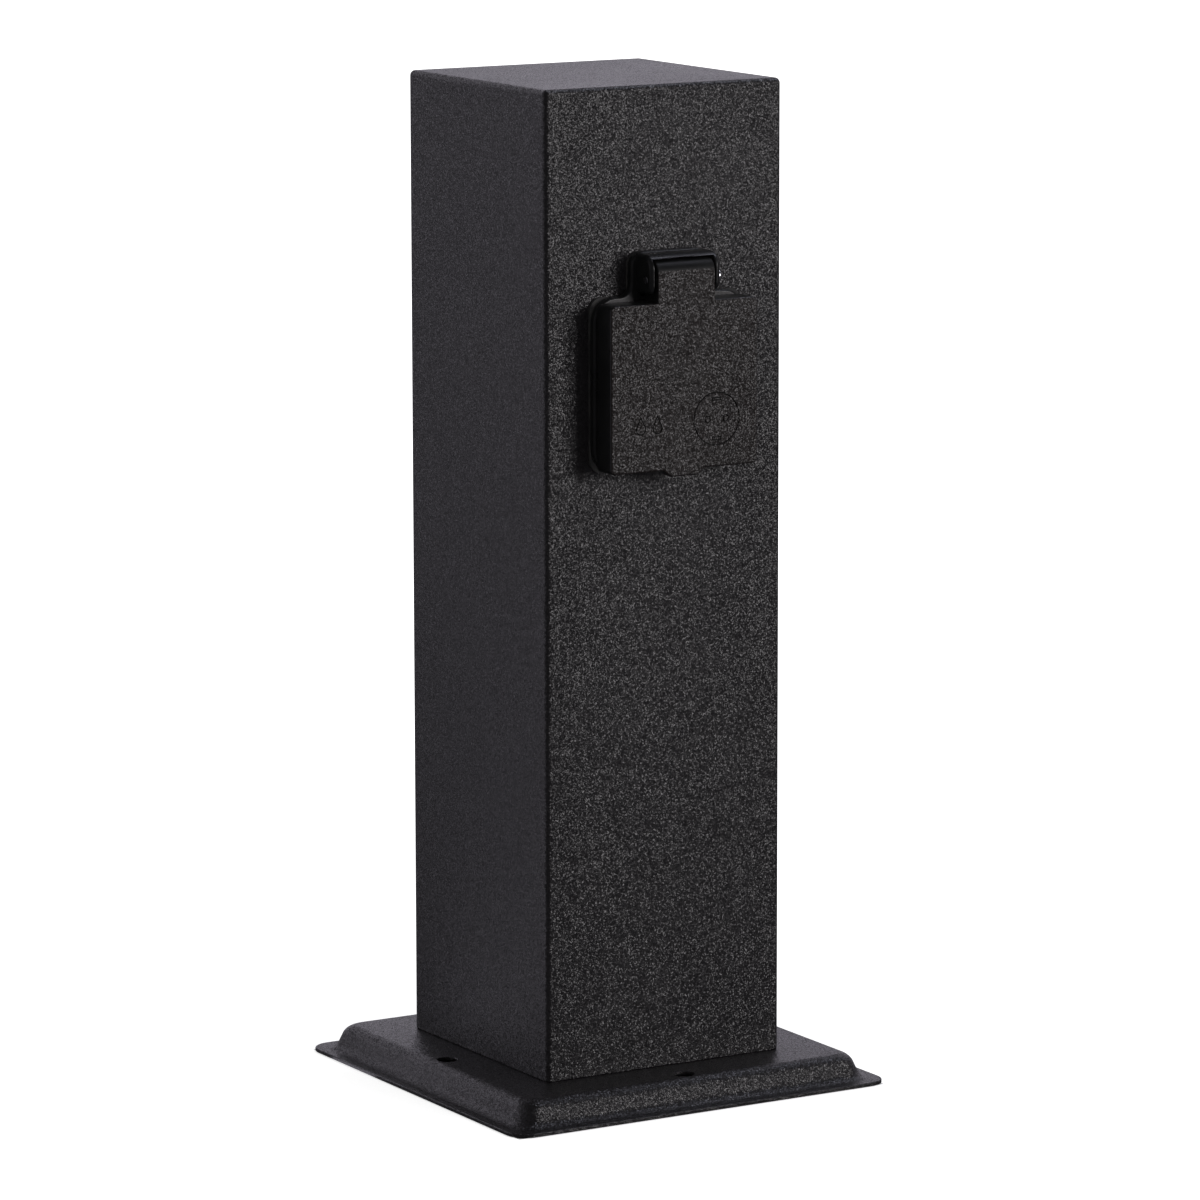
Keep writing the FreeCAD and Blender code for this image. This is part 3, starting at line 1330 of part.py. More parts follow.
def make_ring_terminal():
    face = (BLOCK_FACE, STUD_Y, S.stud_height)
    disc = rod("ring_disc", "-X", face, S.ring_width, S.ring_thickness)
    neck_plate = block("ring_neck", (RING_FACE, BLOCK_FACE),
                       (STUD_Y - RING_BARREL / 2, STUD_Y + RING_BARREL / 2),
                       (S.stud_height, BARREL_HIGH))
    start = (BARREL_X, STUD_Y, BARREL_LOW)
    barrel = rod("ring_barrel_outer", "+Z", start, RING_BARREL, S.ring_barrel_length)
    whole = joined("ring_whole", disc, neck_plate, barrel)
    hole = rod("ring_hole", "-X", face, S.stud_size, S.ring_thickness)
    bore = rod("ring_barrel_bore", "+Z", start, S.wire_size, S.ring_barrel_length)
    return minus("ring_terminal", whole, hole, bore)


# Wires: from the block's poles up to the socket, and down to the earth point

# Points of each wire between its two ends, as shares of the way in x, y and z
WIRE_WAYS = {
    "live_wire": [(0, 0, 0.24), (0.18, 0.52, 0.5), (0.57, 0.94, 0.69), (1, 1, 0.88)],
    "neutral_wire": [(0, 0, 0.26), (0.17, 0.22, 0.57), (0.75, 0.9, 0.77), (1, 1, 0.9)],
    "earth_wire": [(0, 0, 0.28), (0.1, 0.34, 0.62), (0.62, 0.93, 0.83), (1, 1, 0.94)],
    "earth_link_wire": [(0, 0, 0.54), (1, 1, 0.6)],
}


def make_wires():
    pole_top = SLEEVE_LOW + S.sleeve_length - S.wire_overlap
    under = CENTRE - BLOCK_HALF
    earth_y = out(STRAP_BACK) + S.cube_size / 2
    poles = {name: vector(POLE_X, pole_y(name), pole_top) for name in POLES}
    ends = {
        "live_wire": (poles["live"], vector(-CUBE_X, out(WIRE_ENTRY), under)),
        "neutral_wire": (poles["neutral"], vector(CUBE_X, out(WIRE_ENTRY), under)),
        "earth_wire": (poles["earth"], vector(0, earth_y, under)),
        "earth_link_wire": (vector(POLE_X, STUD_Y, SLEEVE_LOW + S.link_overlap),
                            vector(BARREL_X, STUD_Y, BARREL_LOW)),
    }
    clamped = FreeCAD.Vector(0, 0, float(CUBE_Z[0] + S.wire_clamped - under))
    wires = []
    for label, (first, last) in ends.items():
        way = last - first
        route = [first]
        for share in WIRE_WAYS[label]:
            route.append(first + FreeCAD.Vector(*(part * step for part, step in zip(share, way))))
        route.append(last if label == "earth_link_wire" else last + clamped)
        wires.append(sweep(label, rounded_route(label, route), S.wire_size))
    return wires


SUB_PARTS = [
    make_column(), make_base(), make_lugs(), make_base_screws(), make_base_washers(), make_grommet(),
    make_flange_gasket(), make_frame(), make_frame_screws(), make_rivet_nuts(),
    make_lid(), make_lid_gasket(), make_pin(), make_spring(),
    make_cup(), make_carrier(), make_contact("live_contact", -1), make_contact("neutral_contact", 1),
    make_earth_bracket(), make_earth_clamp(), make_socket_terminal_screws(), make_centre_screw(),
    make_bracket(), make_terminal_block(), make_sleeves(), make_pole_screws(), make_block_screws(),
    make_stud(), make_nut(), make_ring_terminal(), *make_wires(),
]
doc.recompute()

for thing in doc.Objects:
    if "Invalid" in thing.State or "Error" in thing.State:
        raise RuntimeError(f"{thing.Label} did not compute: {thing.State}")
os.makedirs("parts", exist_ok=True)
for part in SUB_PARTS:
    if part.Shape.isNull() or not part.Shape.isValid():
        raise RuntimeError(f"{part.Label} has no valid shape")
for part in SUB_PARTS:
    part.Shape.exportStep(f"parts/{part.Label}.step")
    print(f"{part.Label}: {len(part.Shape.Solids)} solid(s), {part.Shape.Volume / 1000:.2f} cm3")
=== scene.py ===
import json
import math
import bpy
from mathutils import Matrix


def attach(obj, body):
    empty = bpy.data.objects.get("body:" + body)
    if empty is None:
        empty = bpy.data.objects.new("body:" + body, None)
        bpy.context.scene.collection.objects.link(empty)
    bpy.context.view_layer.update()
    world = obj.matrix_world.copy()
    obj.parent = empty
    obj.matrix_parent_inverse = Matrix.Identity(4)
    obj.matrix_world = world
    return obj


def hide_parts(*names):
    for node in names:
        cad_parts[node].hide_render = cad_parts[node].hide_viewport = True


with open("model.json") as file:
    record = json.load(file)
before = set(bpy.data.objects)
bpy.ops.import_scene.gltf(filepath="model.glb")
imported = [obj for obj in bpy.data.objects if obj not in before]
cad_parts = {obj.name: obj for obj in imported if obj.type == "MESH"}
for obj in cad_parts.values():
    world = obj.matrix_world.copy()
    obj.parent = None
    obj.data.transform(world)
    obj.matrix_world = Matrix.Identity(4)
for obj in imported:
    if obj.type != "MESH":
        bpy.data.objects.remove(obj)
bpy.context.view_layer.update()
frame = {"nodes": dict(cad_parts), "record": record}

from types import SimpleNamespace as Sizes
import bmesh
import bpy
from mathutils import Matrix, Vector

# Outdoor socket column in powder-coated sheet metal. Metres, +Z up, the front faces -Y, and
# the origin is the middle of the foot on the ground. Sizes are written in millimetres.
MM = 0.001
QUARTER = math.pi / 2
FULL = 2 * math.pi
scene = bpy.context.scene
scene.view_settings.view_transform = "Standard"

# ---------------------------------------------------------------- camera

AZIMUTH = math.radians(-30.70)
ELEVATION = math.radians(9.84)
ROLL = math.radians(-0.10)
DISTANCE = 2.3176
AIM_HEIGHT = 0.17815
AIM_ASIDE = 0.00201
LENS = 186.96


def bearing(azimuth, elevation):
    """The way from the object to a place seen at these angles from the front."""
    return Vector((math.sin(azimuth) * math.cos(elevation),
                   -math.cos(azimuth) * math.cos(elevation), math.sin(elevation)))


def make_camera():
    back = bearing(AZIMUTH, ELEVATION)
    right = Vector((0, 0, 1)).cross(back).normalized()
    up = back.cross(right)
    across = right * math.cos(ROLL) + up * math.sin(ROLL)
    upward = up * math.cos(ROLL) - right * math.sin(ROLL)
    place = back * DISTANCE + right * AIM_ASIDE + Vector((0, 0, AIM_HEIGHT))
    data = bpy.data.cameras.new("camera")
    data.sensor_fit = "HORIZONTAL"
    data.sensor_width = 36
    data.lens = LENS
    data.clip_start = 0.05
    camera = bpy.data.objects.new("camera", data)
    turn = Matrix((across, upward, back)).transposed().to_4x4()
    camera.matrix_world = Matrix.Translation(place) @ turn
    scene.collection.objects.link(camera)
    scene.camera = camera


make_camera()

# ---------------------------------------------------------------- node helpers


class Nodes:
    """A node tree that is written line by line."""

    def __init__(self, tree):
        self.tree = tree

    def add(self, kind, **settings):
        node = self.tree.nodes.new(kind)
        for key, value in settings.items():
            setattr(node, key, value)
        return node

    def link(self, source, target):
        self.tree.links.new(source, target)

    def put(self, socket, value):
        if isinstance(value, bpy.types.NodeSocket):
            self.link(value, socket)
        else:
            socket.default_value = value

    def fill(self, node, *values):
        """Puts values on the node's first sockets and returns its first output."""
        for socket, value in zip(node.inputs, values):
            self.put(socket, value)
        return node.outputs[0]

    def math(self, operation, first, second=0.0):
        return self.fill(self.add("ShaderNodeMath", operation=operation), first, second)

    def times(self, first, second):
        return self.math("MULTIPLY", first, second)

    def vector(self, operation, *values):
        return self.fill(self.add("ShaderNodeVectorMath", operation=operation), *values)

    def mix(self, share, first, second):
        return self.fill(self.add("ShaderNodeMixShader"), share, first, second)

    def blend(self, share, first, second):
        node = self.add("ShaderNodeMix", data_type="RGBA")
        self.put(node.inputs["Factor"], share)
        self.put(node.inputs[6], first)
        self.put(node.inputs[7], second)
        return node.outputs[2]

    def spread(self, value, low, high, new_low=0.0, new_high=1.0):
        return self.fill(self.add("ShaderNodeMapRange"), value, low, high, new_low, new_high)

    def tint(self, value, low, high, first, second):
        return self.blend(self.spread(value, low, high), first, second)

    def facets(self, where, size, tilt):
        """A normal that leans a different way on every grain."""
        cells = self.add("ShaderNodeTexVoronoi")
        self.link(where, cells.inputs["Vector"])
        cells.inputs["Scale"].default_value = 1 / size
        lean = self.vector("SUBTRACT", cells.outputs["Color"], (0.5, 0.5, 0.5))
        sized = self.add("ShaderNodeVectorMath", operation="SCALE")
        self.link(lean, sized.inputs[0])
        sized.inputs["Scale"].default_value = tilt
        upright = self.add("ShaderNodeNewGeometry").outputs["Normal"]
        return self.vector("NORMALIZE", self.vector("ADD", sized.outputs[0], upright))

    def bump(self, height, distance, strength=1.0, after=None):
        node = self.add("ShaderNodeBump")
        node.inputs["Distance"].default_value = distance
        node.inputs["Strength"].default_value = strength
        self.link(height, node.inputs["Height"])
        if after is not None:
            self.link(after, node.inputs["Normal"])
        return node.outputs[0]


class Finish(Nodes):
    """A new material that is worked out from the point on the piece, in metres."""

    def __init__(self, name):
        self.material = bpy.data.materials.new(name)
        self.material.use_nodes = True
        super().__init__(self.material.node_tree)
        self.shader = self.tree.nodes["Principled BSDF"]
        self.where = self.add("ShaderNodeTexCoord").outputs["Object"]

    def noise(self, size, detail=2.0, roughness=0.5, seed=0.0, where=None):
        """Cloudy pattern whose lumps are about size metres."""
        node = self.add("ShaderNodeTexNoise", noise_dimensions="4D")
        self.link(where or self.where, node.inputs["Vector"])
        node.inputs["W"].default_value = seed
        node.inputs["Scale"].default_value = 1 / size
        node.inputs["Detail"].default_value = detail
        node.inputs["Roughness"].default_value = roughness
        return node.outputs["Fac"]

    def done(self, colour, rough, normal, level=0.5, metallic=0.0):
        values = {"Base Color": colour, "Roughness": rough, "Normal": normal,
                  "Specular IOR Level": level, "Metallic": metallic}
        for label, value in values.items():
            self.put(self.shader.inputs[label], value)
        return self.material


def grey(value, warmth=0.0):
    """A dark or light grey; warmth above 0 leans to red, below 0 to blue."""
    return (value * (1 + warmth), value, value * (1 - warmth), 1.0)


def scaled(colour, share):
    return tuple(share * part for part in colour[:3]) + (1.0,)


# ---------------------------------------------------------------- finishes


def powder_coat(name, film, rough, level):
    """Fine textured powder coat: a black film of close little facets, each tilted its own way, with
    lighter specks in its colour that are partly the coat's own fleck and partly painted glints.
    """
    n = Finish(name)
    clouds = n.noise(0.05, 3.0, 0.55, 5.0)
    fine = n.noise(GRAIN_SIZE, 0.0, 0.5, 3.0)
    facets = n.facets(n.where, GRAIN_SIZE, GRAIN_TILT)
    # The lighter specks, 2.4 times the film, are partly painted glints of light off the facets.
    return n.done(n.tint(fine, 0.45, 0.75, film, scaled(film, 2.4)),
                  n.spread(clouds, 0.3, 0.7, rough - 0.02, rough + 0.03),
                  n.bump(fine, 0.00003, 1.0, facets), level)


def moulded_black(name, tone, rough, level):
    """Smooth injection-moulded plastic with faint flow marks."""
    n = Finish(name)
    flow = n.noise(0.012, 2.0, 0.5, 7.0)
    fine = n.noise(0.0004, 1.0, 0.5, 2.0)
    return n.done(n.tint(flow, 0.35, 0.65, grey(tone * 0.8, -0.04), grey(tone * 1.25, -0.02)),
                  n.spread(flow, 0.3, 0.7, rough - 0.04, rough + 0.05),
                  n.bump(fine, 0.00002, 0.35), level)


def rubber(name):
    n = Finish(name)
    dust = n.noise(0.006, 4.0, 0.6, 4.0)
    fine = n.noise(0.0005, 2.0, 0.6, 2.0)
    return n.done(n.tint(dust, 0.42, 0.72, grey(0.012), grey(0.035, 0.04)),
                  n.spread(dust, 0.3, 0.7, 0.62, 0.8), n.bump(fine, 0.00004, 0.5))


def metal(name, light, dark, rough, brushed=0.0):
    """Bare or plated metal with cloudy tone, fine scratches and duller patches."""
    n = Finish(name)
    cloud = n.noise(0.004, 3.0, 0.6, 6.0)
    fine = n.noise(0.0003, 2.0, 0.6, 8.0)
    stretch = n.add("ShaderNodeMapping")
    stretch.inputs["Scale"].default_value = (1.0, 1.0, 0.05)
    n.link(n.where, stretch.inputs["Vector"])
    lines = n.noise(0.0002, 2.0, 0.6, 9.0, stretch.outputs[0])
    height = n.math("ADD", fine, n.times(lines, brushed))
    return n.done(n.tint(cloud, 0.35, 0.65, dark, light),
                  n.spread(cloud, 0.3, 0.7, rough + 0.07, rough - 0.04),
                  n.bump(height, 0.00001, 0.4), metallic=1.0)


def insulation(name, colour, stripe=None):
    """Soft wire covering; an earth wire has a second colour along it."""
    n = Finish(name)
    tone = n.noise(0.003, 2.0, 0.5, 2.0)
    base = n.tint(tone, 0.3, 0.7, scaled(colour, 0.8), colour)
    if stripe:
        turn = n.add("ShaderNodeTexWave", bands_direction="X")
        turn.inputs["Scale"].default_value = 160.0
        n.link(n.where, turn.inputs["Vector"])
        base = n.tint(turn.outputs["Fac"], 0.45, 0.55, base, stripe)
    return n.done(base, n.spread(tone, 0.3, 0.7, 0.38, 0.5), n.bump(n.noise(0.0006), 0.00003, 0.4))


def light_plastic(name):
    """Off-white carrier plastic, a little cloudy, with fine moulding texture."""
    n = Finish(name)
    cloud = n.noise(0.01, 3.0, 0.5, 1.0)
    fine = n.noise(0.0004, 2.0, 0.5, 3.0)
    return n.done(n.tint(cloud, 0.3, 0.7, (0.56, 0.54, 0.48, 1), (0.66, 0.64, 0.58, 1)),
                  n.spread(fine, 0.3, 0.7, 0.4, 0.55), n.bump(fine, 0.00003, 0.5))


GRAIN_SIZE = 0.00031
GRAIN_TILT = 0.58
# The flap's front coat; its lighter specks are partly painted glints.
FLAP_GRAIN_GLINT = powder_coat("flap_grain", (0.0060, 0.0046, 0.0042, 1), 0.30, 0.42)
# Painted shade: a film darker than the flap, for the floors and walls of the sunk marks where the narrow
# grooves lie in shade.
MARK_SHADE = moulded_black("sunk_mark", 0.002, 0.6, 0.1)
FLAP_BEND = moulded_black("flap_bend", 0.007, 0.45, 0.12)
FINISH_OF = {
    "powder_coat": powder_coat("powder_coat", (0.0050, 0.0045, 0.0050, 1), 0.29, 0.5),
    "flap_shell": moulded_black("flap_smooth", 0.005, 0.34, 0.28),
    "socket_shell": moulded_black("socket_shell", 0.005, 0.3, 0.34),
    "recess_plastic": moulded_black("recess_plastic", 0.02, 0.42, 0.4),
    "seal_rubber": rubber("seal_rubber"),
    "zinc_steel": metal("zinc_steel", (0.62, 0.62, 0.6, 1), (0.45, 0.45, 0.44, 1), 0.34),
    "stainless": metal("stainless", (0.6, 0.6, 0.61, 1), (0.44, 0.44, 0.45, 1), 0.22, 0.6),
    "brass": metal("brass", (0.72, 0.52, 0.22, 1), (0.52, 0.36, 0.14, 1), 0.28, 0.3),
    "carrier_plastic": light_plastic("carrier_plastic"),
    "live_insulation": insulation("live_insulation", (0.16, 0.055, 0.02, 1)),
    "neutral_insulation": insulation("neutral_insulation", (0.02, 0.09, 0.42, 1)),
    "earth_insulation": insulation("earth_insulation", (0.05, 0.3, 0.05, 1), (0.72, 0.6, 0.04, 1)),
}
SLOT_OF = {row["node"]: row["material_slot"] for row in frame["record"]["subparts"]}

# ---------------------------------------------------------------- mesh helpers

WELD = 2e-6             # points closer than this are one point, in metres


def link_mesh(name, mesh):
    piece = bpy.data.objects.new(name, mesh)
    scene.collection.objects.link(piece)
    return piece


def from_points(name, points, faces=()):
    mesh = bpy.data.meshes.new(name)
    mesh.from_pydata([tuple(c * MM for c in point) for point in points], [], faces)
    return link_mesh(name, mesh)


def tidy(mesh, outward=True):
    """Merges doubled points and turns the faces outward."""
    work = bmesh.new()
    work.from_mesh(mesh)
    bmesh.ops.remove_doubles(work, verts=work.verts, dist=WELD)
    bmesh.ops.dissolve_degenerate(work, edges=work.edges, dist=1e-7)
    if outward:
        bmesh.ops.recalc_face_normals(work, faces=work.faces)
    work.to_mesh(mesh)
    work.free()
    mesh.update()


def bake_modifiers(piece):
    """Replaces the mesh by what its modifiers make of it."""
    graph = bpy.context.evaluated_depsgraph_get()
    done = bpy.data.meshes.new_from_object(piece.evaluated_get(graph))
    piece.modifiers.clear()
    piece.data = done
    done.name = piece.name


def smooth(piece, angle=30.0):
    """Smooth rounds, sharp corners, and flat faces that stay flat up to their edges."""
    mesh = piece.data
    mesh.polygons.foreach_set("use_smooth", [True] * len(mesh.polygons))
    mesh.set_sharp_from_angle(angle=math.radians(angle))
    weighted = piece.modifiers.new("flat_faces", "WEIGHTED_NORMAL")
    weighted.keep_sharp = True
    weighted.weight = 100
    bake_modifiers(piece)


def merge(piece, others, operation="DIFFERENCE"):
    """Takes the other solids out of the piece, or adds them to it, and drops them."""
    for other in others:
        modifier = piece.modifiers.new("merge", "BOOLEAN")
        modifier.operation = operation
        modifier.solver = "EXACT"
        modifier.object = other
        bake_modifiers(piece)
        tidy(piece.data)
        bpy.data.objects.remove(other)


def round_edges(piece, width, chosen):
    """Rounds the sharp edges whose ends both fit the test."""
    work = bmesh.new()
    work.from_mesh(piece.data)
    layer = work.edges.layers.float.new("bevel_weight_edge")
    for edge in work.edges:
        if len(edge.link_faces) == 2 and edge.calc_face_angle(0) > 0.6:
            if all(chosen(vert.co / MM) for vert in edge.verts):
                edge[layer] = 1.0
    work.to_mesh(piece.data)
    work.free()
    modifier = piece.modifiers.new("rounding", "BEVEL")
    modifier.limit_method = "WEIGHT"
    modifier.width = width * MM
    modifier.segments = 3
    modifier.use_clamp_overlap = False
    bake_modifiers(piece)


def arc(middle, radius, start, end, steps):
    """Points on an arc from one angle to another."""
    turns = [start + step / steps * (end - start) for step in range(steps + 1)]
    return [(middle[0] + radius * math.cos(turn), middle[1] + radius * math.sin(turn))
            for turn in turns]


def rim(radius, steps=4):
    """Steps over a rounded edge: how far each lies short of the end, and how far inward."""
    if not radius:
        return [(0.0, 0.0)]
    return [(radius - high, radius - wide) for wide, high in arc((0, 0), radius, 0, QUARTER, steps)]


def rounded_outline(corners, turn=15.0):
    """A closed outline, counterclockwise, from (a, b, radius) corners; arc points turn by turn."""
    points = []
    for number, (a, b, radius) in enumerate(corners):
        here = Vector((a, b))
        if radius <= 0:
            points.append((a, b))
            continue
        to_last = (Vector(corners[number - 1][:2]) - here).normalized()
        to_next = (Vector(corners[(number + 1) % len(corners)][:2]) - here).normalized()
        half = to_last.angle(to_next) / 2
        middle = here + (to_last + to_next).normalized() * (radius / math.sin(half))
        first = here + to_last * (radius / math.tan(half)) - middle
        last = here + to_next * (radius / math.tan(half)) - middle
        begin = math.atan2(first.y, first.x)
        swing = (math.atan2(last.y, last.x) - begin + math.pi) % FULL - math.pi
        steps = max(2, round(abs(math.degrees(swing)) / turn))
        points += arc(middle, radius, begin, begin + swing, steps)
    return points


def rectangle(left, right, low, high, corner=0.0):
    return rounded_outline([(left, low, corner), (right, low, corner),
                            (right, high, corner), (left, high, corner)], 11)


def inset(outline, distance):
    """A counterclockwise outline moved inward."""
    moved = []
    for number, point in enumerate(outline):
        here = Vector(point)
        way_in = (here - Vector(outline[number - 1])).normalized()
        way_out = (Vector(outline[(number + 1) % len(outline)]) - here).normalized()
        lean = Vector((-way_in.y - way_out.y, way_in.x + way_out.x))
        moved.append(tuple(here + lean * (2 * distance / lean.length_squared)))
    return moved


def solid(name, rings):
    """A closed solid between rings of equally many points."""
    count = len(rings[0])
    faces = [tuple(range(count))[::-1], tuple(range((len(rings) - 1) * count, len(rings) * count))]
    for low in range(0, (len(rings) - 1) * count, count):
        for step in range(count):
            after = (step + 1) % count
            faces.append((low + step, low + after, low + count + after, low + count + step))
    piece = from_points(name, [point for ring in rings for point in ring], faces)
    tidy(piece.data)
    return piece


def slab(name, outline, axis, low, high, rim_low=0.0, rim_high=0.0, steps=4):
    """A solid of one outline between two places on an axis, with rounded rims."""
    levels = [(low + short, depth) for short, depth in reversed(rim(rim_low, steps))]
    levels += [(high - short, depth) for short, depth in rim(rim_high, steps)]
    rings = []
    for level, depth in levels:
        ring = inset(outline, depth) if depth else outline
        rings.append([(level, a, b) if axis == "X" else (a, level, b) for a, b in ring])
    return solid(name, rings)


def rounded_square(half, radius, z, steps=8):
    """Points of a square ring with round corners, counterclockwise from above."""
    centre = half - radius
    points = []
    for quarter, (x, y) in enumerate(((1, 1), (-1, 1), (-1, -1), (1, -1))):
        points += arc((x * centre, y * centre), radius, quarter * QUARTER, (quarter + 1) * QUARTER,
                      steps)
    return [(x, y, z) for x, y in points]


def lathe(name, profile, steps=48, axis="Z", place=(0, 0, 0)):
    """Turns a profile of (radius, height) points round an axis through place."""
    rings = []
    for radius, height in profile:
        ring = []
        for a, b in arc((0, 0), radius, 0, FULL, steps)[:-1]:
            turned = {"Z": (a, b, height), "Y": (a, height, b), "X": (height, a, b)}[axis]
            ring.append(tuple(turned[k] + place[k] for k in range(3)))
        rings.append(ring)
    return solid(name, rings)


def hole_cutter(name, radius, low, high, edge, axis="Z", place=(0, 0, 0), steps=48):
    """A round cutter whose ends flare, so that the hole's rims come out rounded."""
    profile = [(radius + wide, low + deep) for wide, deep in rim(edge)]
    profile += [(r, high + low - z) for r, z in reversed(profile)]
    flare = [(profile[0][0], low - 1.0)] + profile + [(profile[-1][0], high + 1.0)]
    return lathe(name, flare, steps, axis, place)


def four(reach, height=0.0):
    """The corners of a square round a middle at that height."""
    return [(x, height + z) for x in (-reach, reach) for z in (-reach, reach)]


def finish_piece(piece, body, slot, *nodes):
    """Gives a new piece its finish and its body, and hides the CAD nodes that it stands for."""
    if not any(piece.data.materials):
        piece.data.materials.clear()
        piece.data.materials.append(FINISH_OF[slot])
    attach(piece, body)
    if nodes:
        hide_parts(*nodes)


def merged_copy(node, name):
    """A copy of a node's mesh with its points merged and its old normals dropped."""
    mesh = frame["nodes"][node].data.copy()
    mesh.name = name
    work = bmesh.new()
    work.from_mesh(mesh)
    bmesh.ops.remove_doubles(work, verts=work.verts, dist=WELD)
    work.to_mesh(mesh)
    work.free()
    mesh.materials.clear()
    if "custom_normal" in mesh.attributes:
        mesh.attributes.remove(mesh.attributes["custom_normal"])
    return link_mesh(name, mesh)


# ---------------------------------------------------------------- column

COLUMN = Sizes(half=50.0, wall=2.0, bend=2.0, low=10.8, top=374.0, edge=0.3, socket=266.6,
               cutout=25.0, rivet=26.0, rivet_hole=3.0)
SHARP = 1e-4            # the corner radius that stands for none


def make_column():
    c = COLUMN
    rings = [rounded_square(c.half - c.edge, c.bend - c.edge, c.low),
             rounded_square(c.half, c.bend, c.low + c.edge)]
    rings += [rounded_square(c.half - fall, max(c.bend - fall, SHARP), c.top - short)
              for short, fall in rim(c.bend, 8)]
    shell = solid("column_shell", rings)
    inner = c.half - c.wall
    cutters = [solid("hollow", [rounded_square(inner, 0.5, z) for z in (c.low - 5, c.top - c.wall)]),
               hole_cutter("cutout", c.cutout, -c.half, -inner, 0.2, "Y", (0, 0, c.socket), 72)]
    cutters += [hole_cutter("rivet_hole", c.rivet_hole, -c.half, -inner, 0.15, "Y", (x, 0, z), 24)
                for x, z in four(c.rivet, c.socket)]
    merge(shell, cutters)
    smooth(shell)
    finish_piece(shell, "column", "powder_coat", "column_housing")


make_column()

# ---------------------------------------------------------------- foot pan

PAN = Sizes(half=80.0, corner=8.0, sheet=1.5, height=10.8, foot=74.7, slope=math.radians(20),
            foot_round=4.0, top_round=5.0, roof_corner=6.0, corner_growth=0.2, edge=0.4,
            low_edge=0.24, anchor=64.0, anchor_bore=3.75, lug=37.0, lug_bore=2.8, entry=15.0)
PAN_CORNER_STEPS = 12


def pan_profile(grow):
    """Half widths and heights up the pan's step, for the outside (grow 0) or the inside."""
    p = PAN
    lean = p.slope
    foot_round, top_round = p.foot_round + grow, p.top_round - grow
    line = p.foot - grow / math.cos(lean)
    foot_z = p.sheet - grow + foot_round
    foot_x = line + (foot_round - foot_z * math.sin(lean)) / math.cos(lean)
    top_z = p.height - grow - top_round
    top_x = line - (top_round + top_z * math.sin(lean)) / math.cos(lean)
    return (arc((foot_x, foot_z), foot_round, -QUARTER, lean - math.pi, 9)
            + arc((top_x, top_z), top_round, lean, QUARTER, 9))


def step_rings(grow):
    profile = pan_profile(grow)
    roof = profile[-1][0]
    return [rounded_square(half, PAN.roof_corner + PAN.corner_growth * (half - roof), z,
                           PAN_CORNER_STEPS) for half, z in profile]


def make_pan():
    p = PAN
    lip = [(p.half - p.low_edge, 0), (p.half, p.low_edge)]
    lip += [(p.half - depth, p.sheet - short) for short, depth in rim(p.edge)]
    rings = step_rings(p.sheet)[::-1]
    rings += [rounded_square(half, p.corner, z, PAN_CORNER_STEPS) for half, z in lip]
    pan = solid("foot_pan", rings + step_rings(0))
    low, high = p.height - p.sheet, p.height
    anchors = [(p.anchor, 0, 0), (-p.anchor, 0, 0), (0, p.anchor, 0), (0, -p.anchor, 0)]
    cutters = [hole_cutter("anchor", p.anchor_bore, low, high, 0.35, "Z", spot) for spot in anchors]
    cutters += [hole_cutter("lug_bore", p.lug_bore, low, high, 0.2, "Z", (x, y, 0), 24)
                for x, y in four(p.lug)]
    cutters.append(hole_cutter("entry", p.entry, low, high, 0.25, "Z", (0, 0, 0), 64))
    merge(pan, cutters)
    smooth(pan)
    finish_piece(pan, "column", "powder_coat", "base_plate")


make_pan()

# ---------------------------------------------------------------- socket frame and flap

FRAME = Sizes(centre=266.6, half=32.0, corner=9.0, hollow=4.5, neck=16.3, neck_top=314.4,
              neck_corner=5.0, back=1.0, front=4.0, rim=0.9, collar=25.0, collar_front=9.0,
              skirt=24.0, skirt_back=-9.0, bore=21.9, seat=23.1, seat_depth=1.5, window_low=298.2,
              window_high=311.4, screw=26.0, screw_bore=2.1, screw_head=3.9)
HOOD = Sizes(left=-14.2, right=15.4, room_left=-12.5, room_right=13.2, low=299.8, high=314.0,
             front=14.0, root=1.6, top_round=5.5, foot_round=3.0, under=312.4, rim=1.5, inner_rim=0.45)
PIN = Sizes(y=-60.2, z=304.8, radius=1.5, head=2.65, head_height=1.3, head_edge=0.7)
FLAP = Sizes(half=31.0, top=296.7, corner=2.0, edge=0.8, back=4.3, front=14.3, wall=2.0,
             inner_corner=1.0, tongue_left=-11.3, tongue_right=12.8, tongue_top=311.9,
             tongue_round=4.7, tongue_back=4.5, tongue_swing=8.8, tongue_edge=0.5, cheek=2.0,
             tongue_wall=1.5, tab_root=9.0, tab_foot=5.5, tab_drop=2.4, tab_depth=4.0)
SPRING = Sizes(wire=0.7, radius=1.95, pitch=1.3, turns=6.5, leg=7.0, foot_depth=4.45,
               foot_height=296.2)
LOW, HIGH = FRAME.centre - FLAP.half, FRAME.centre + FLAP.half      # the flap's square part
ROUND_STEPS = 96


def out(depth):
    """The Y of a plane that far in front of the column's face."""
    return -COLUMN.half - depth


def pin_cutter(radius, left, right):
    return lathe("pin_bore", [(0, left), (radius, left), (radius, right), (0, right)],
                 32, "X", (0, PIN.y, PIN.z))


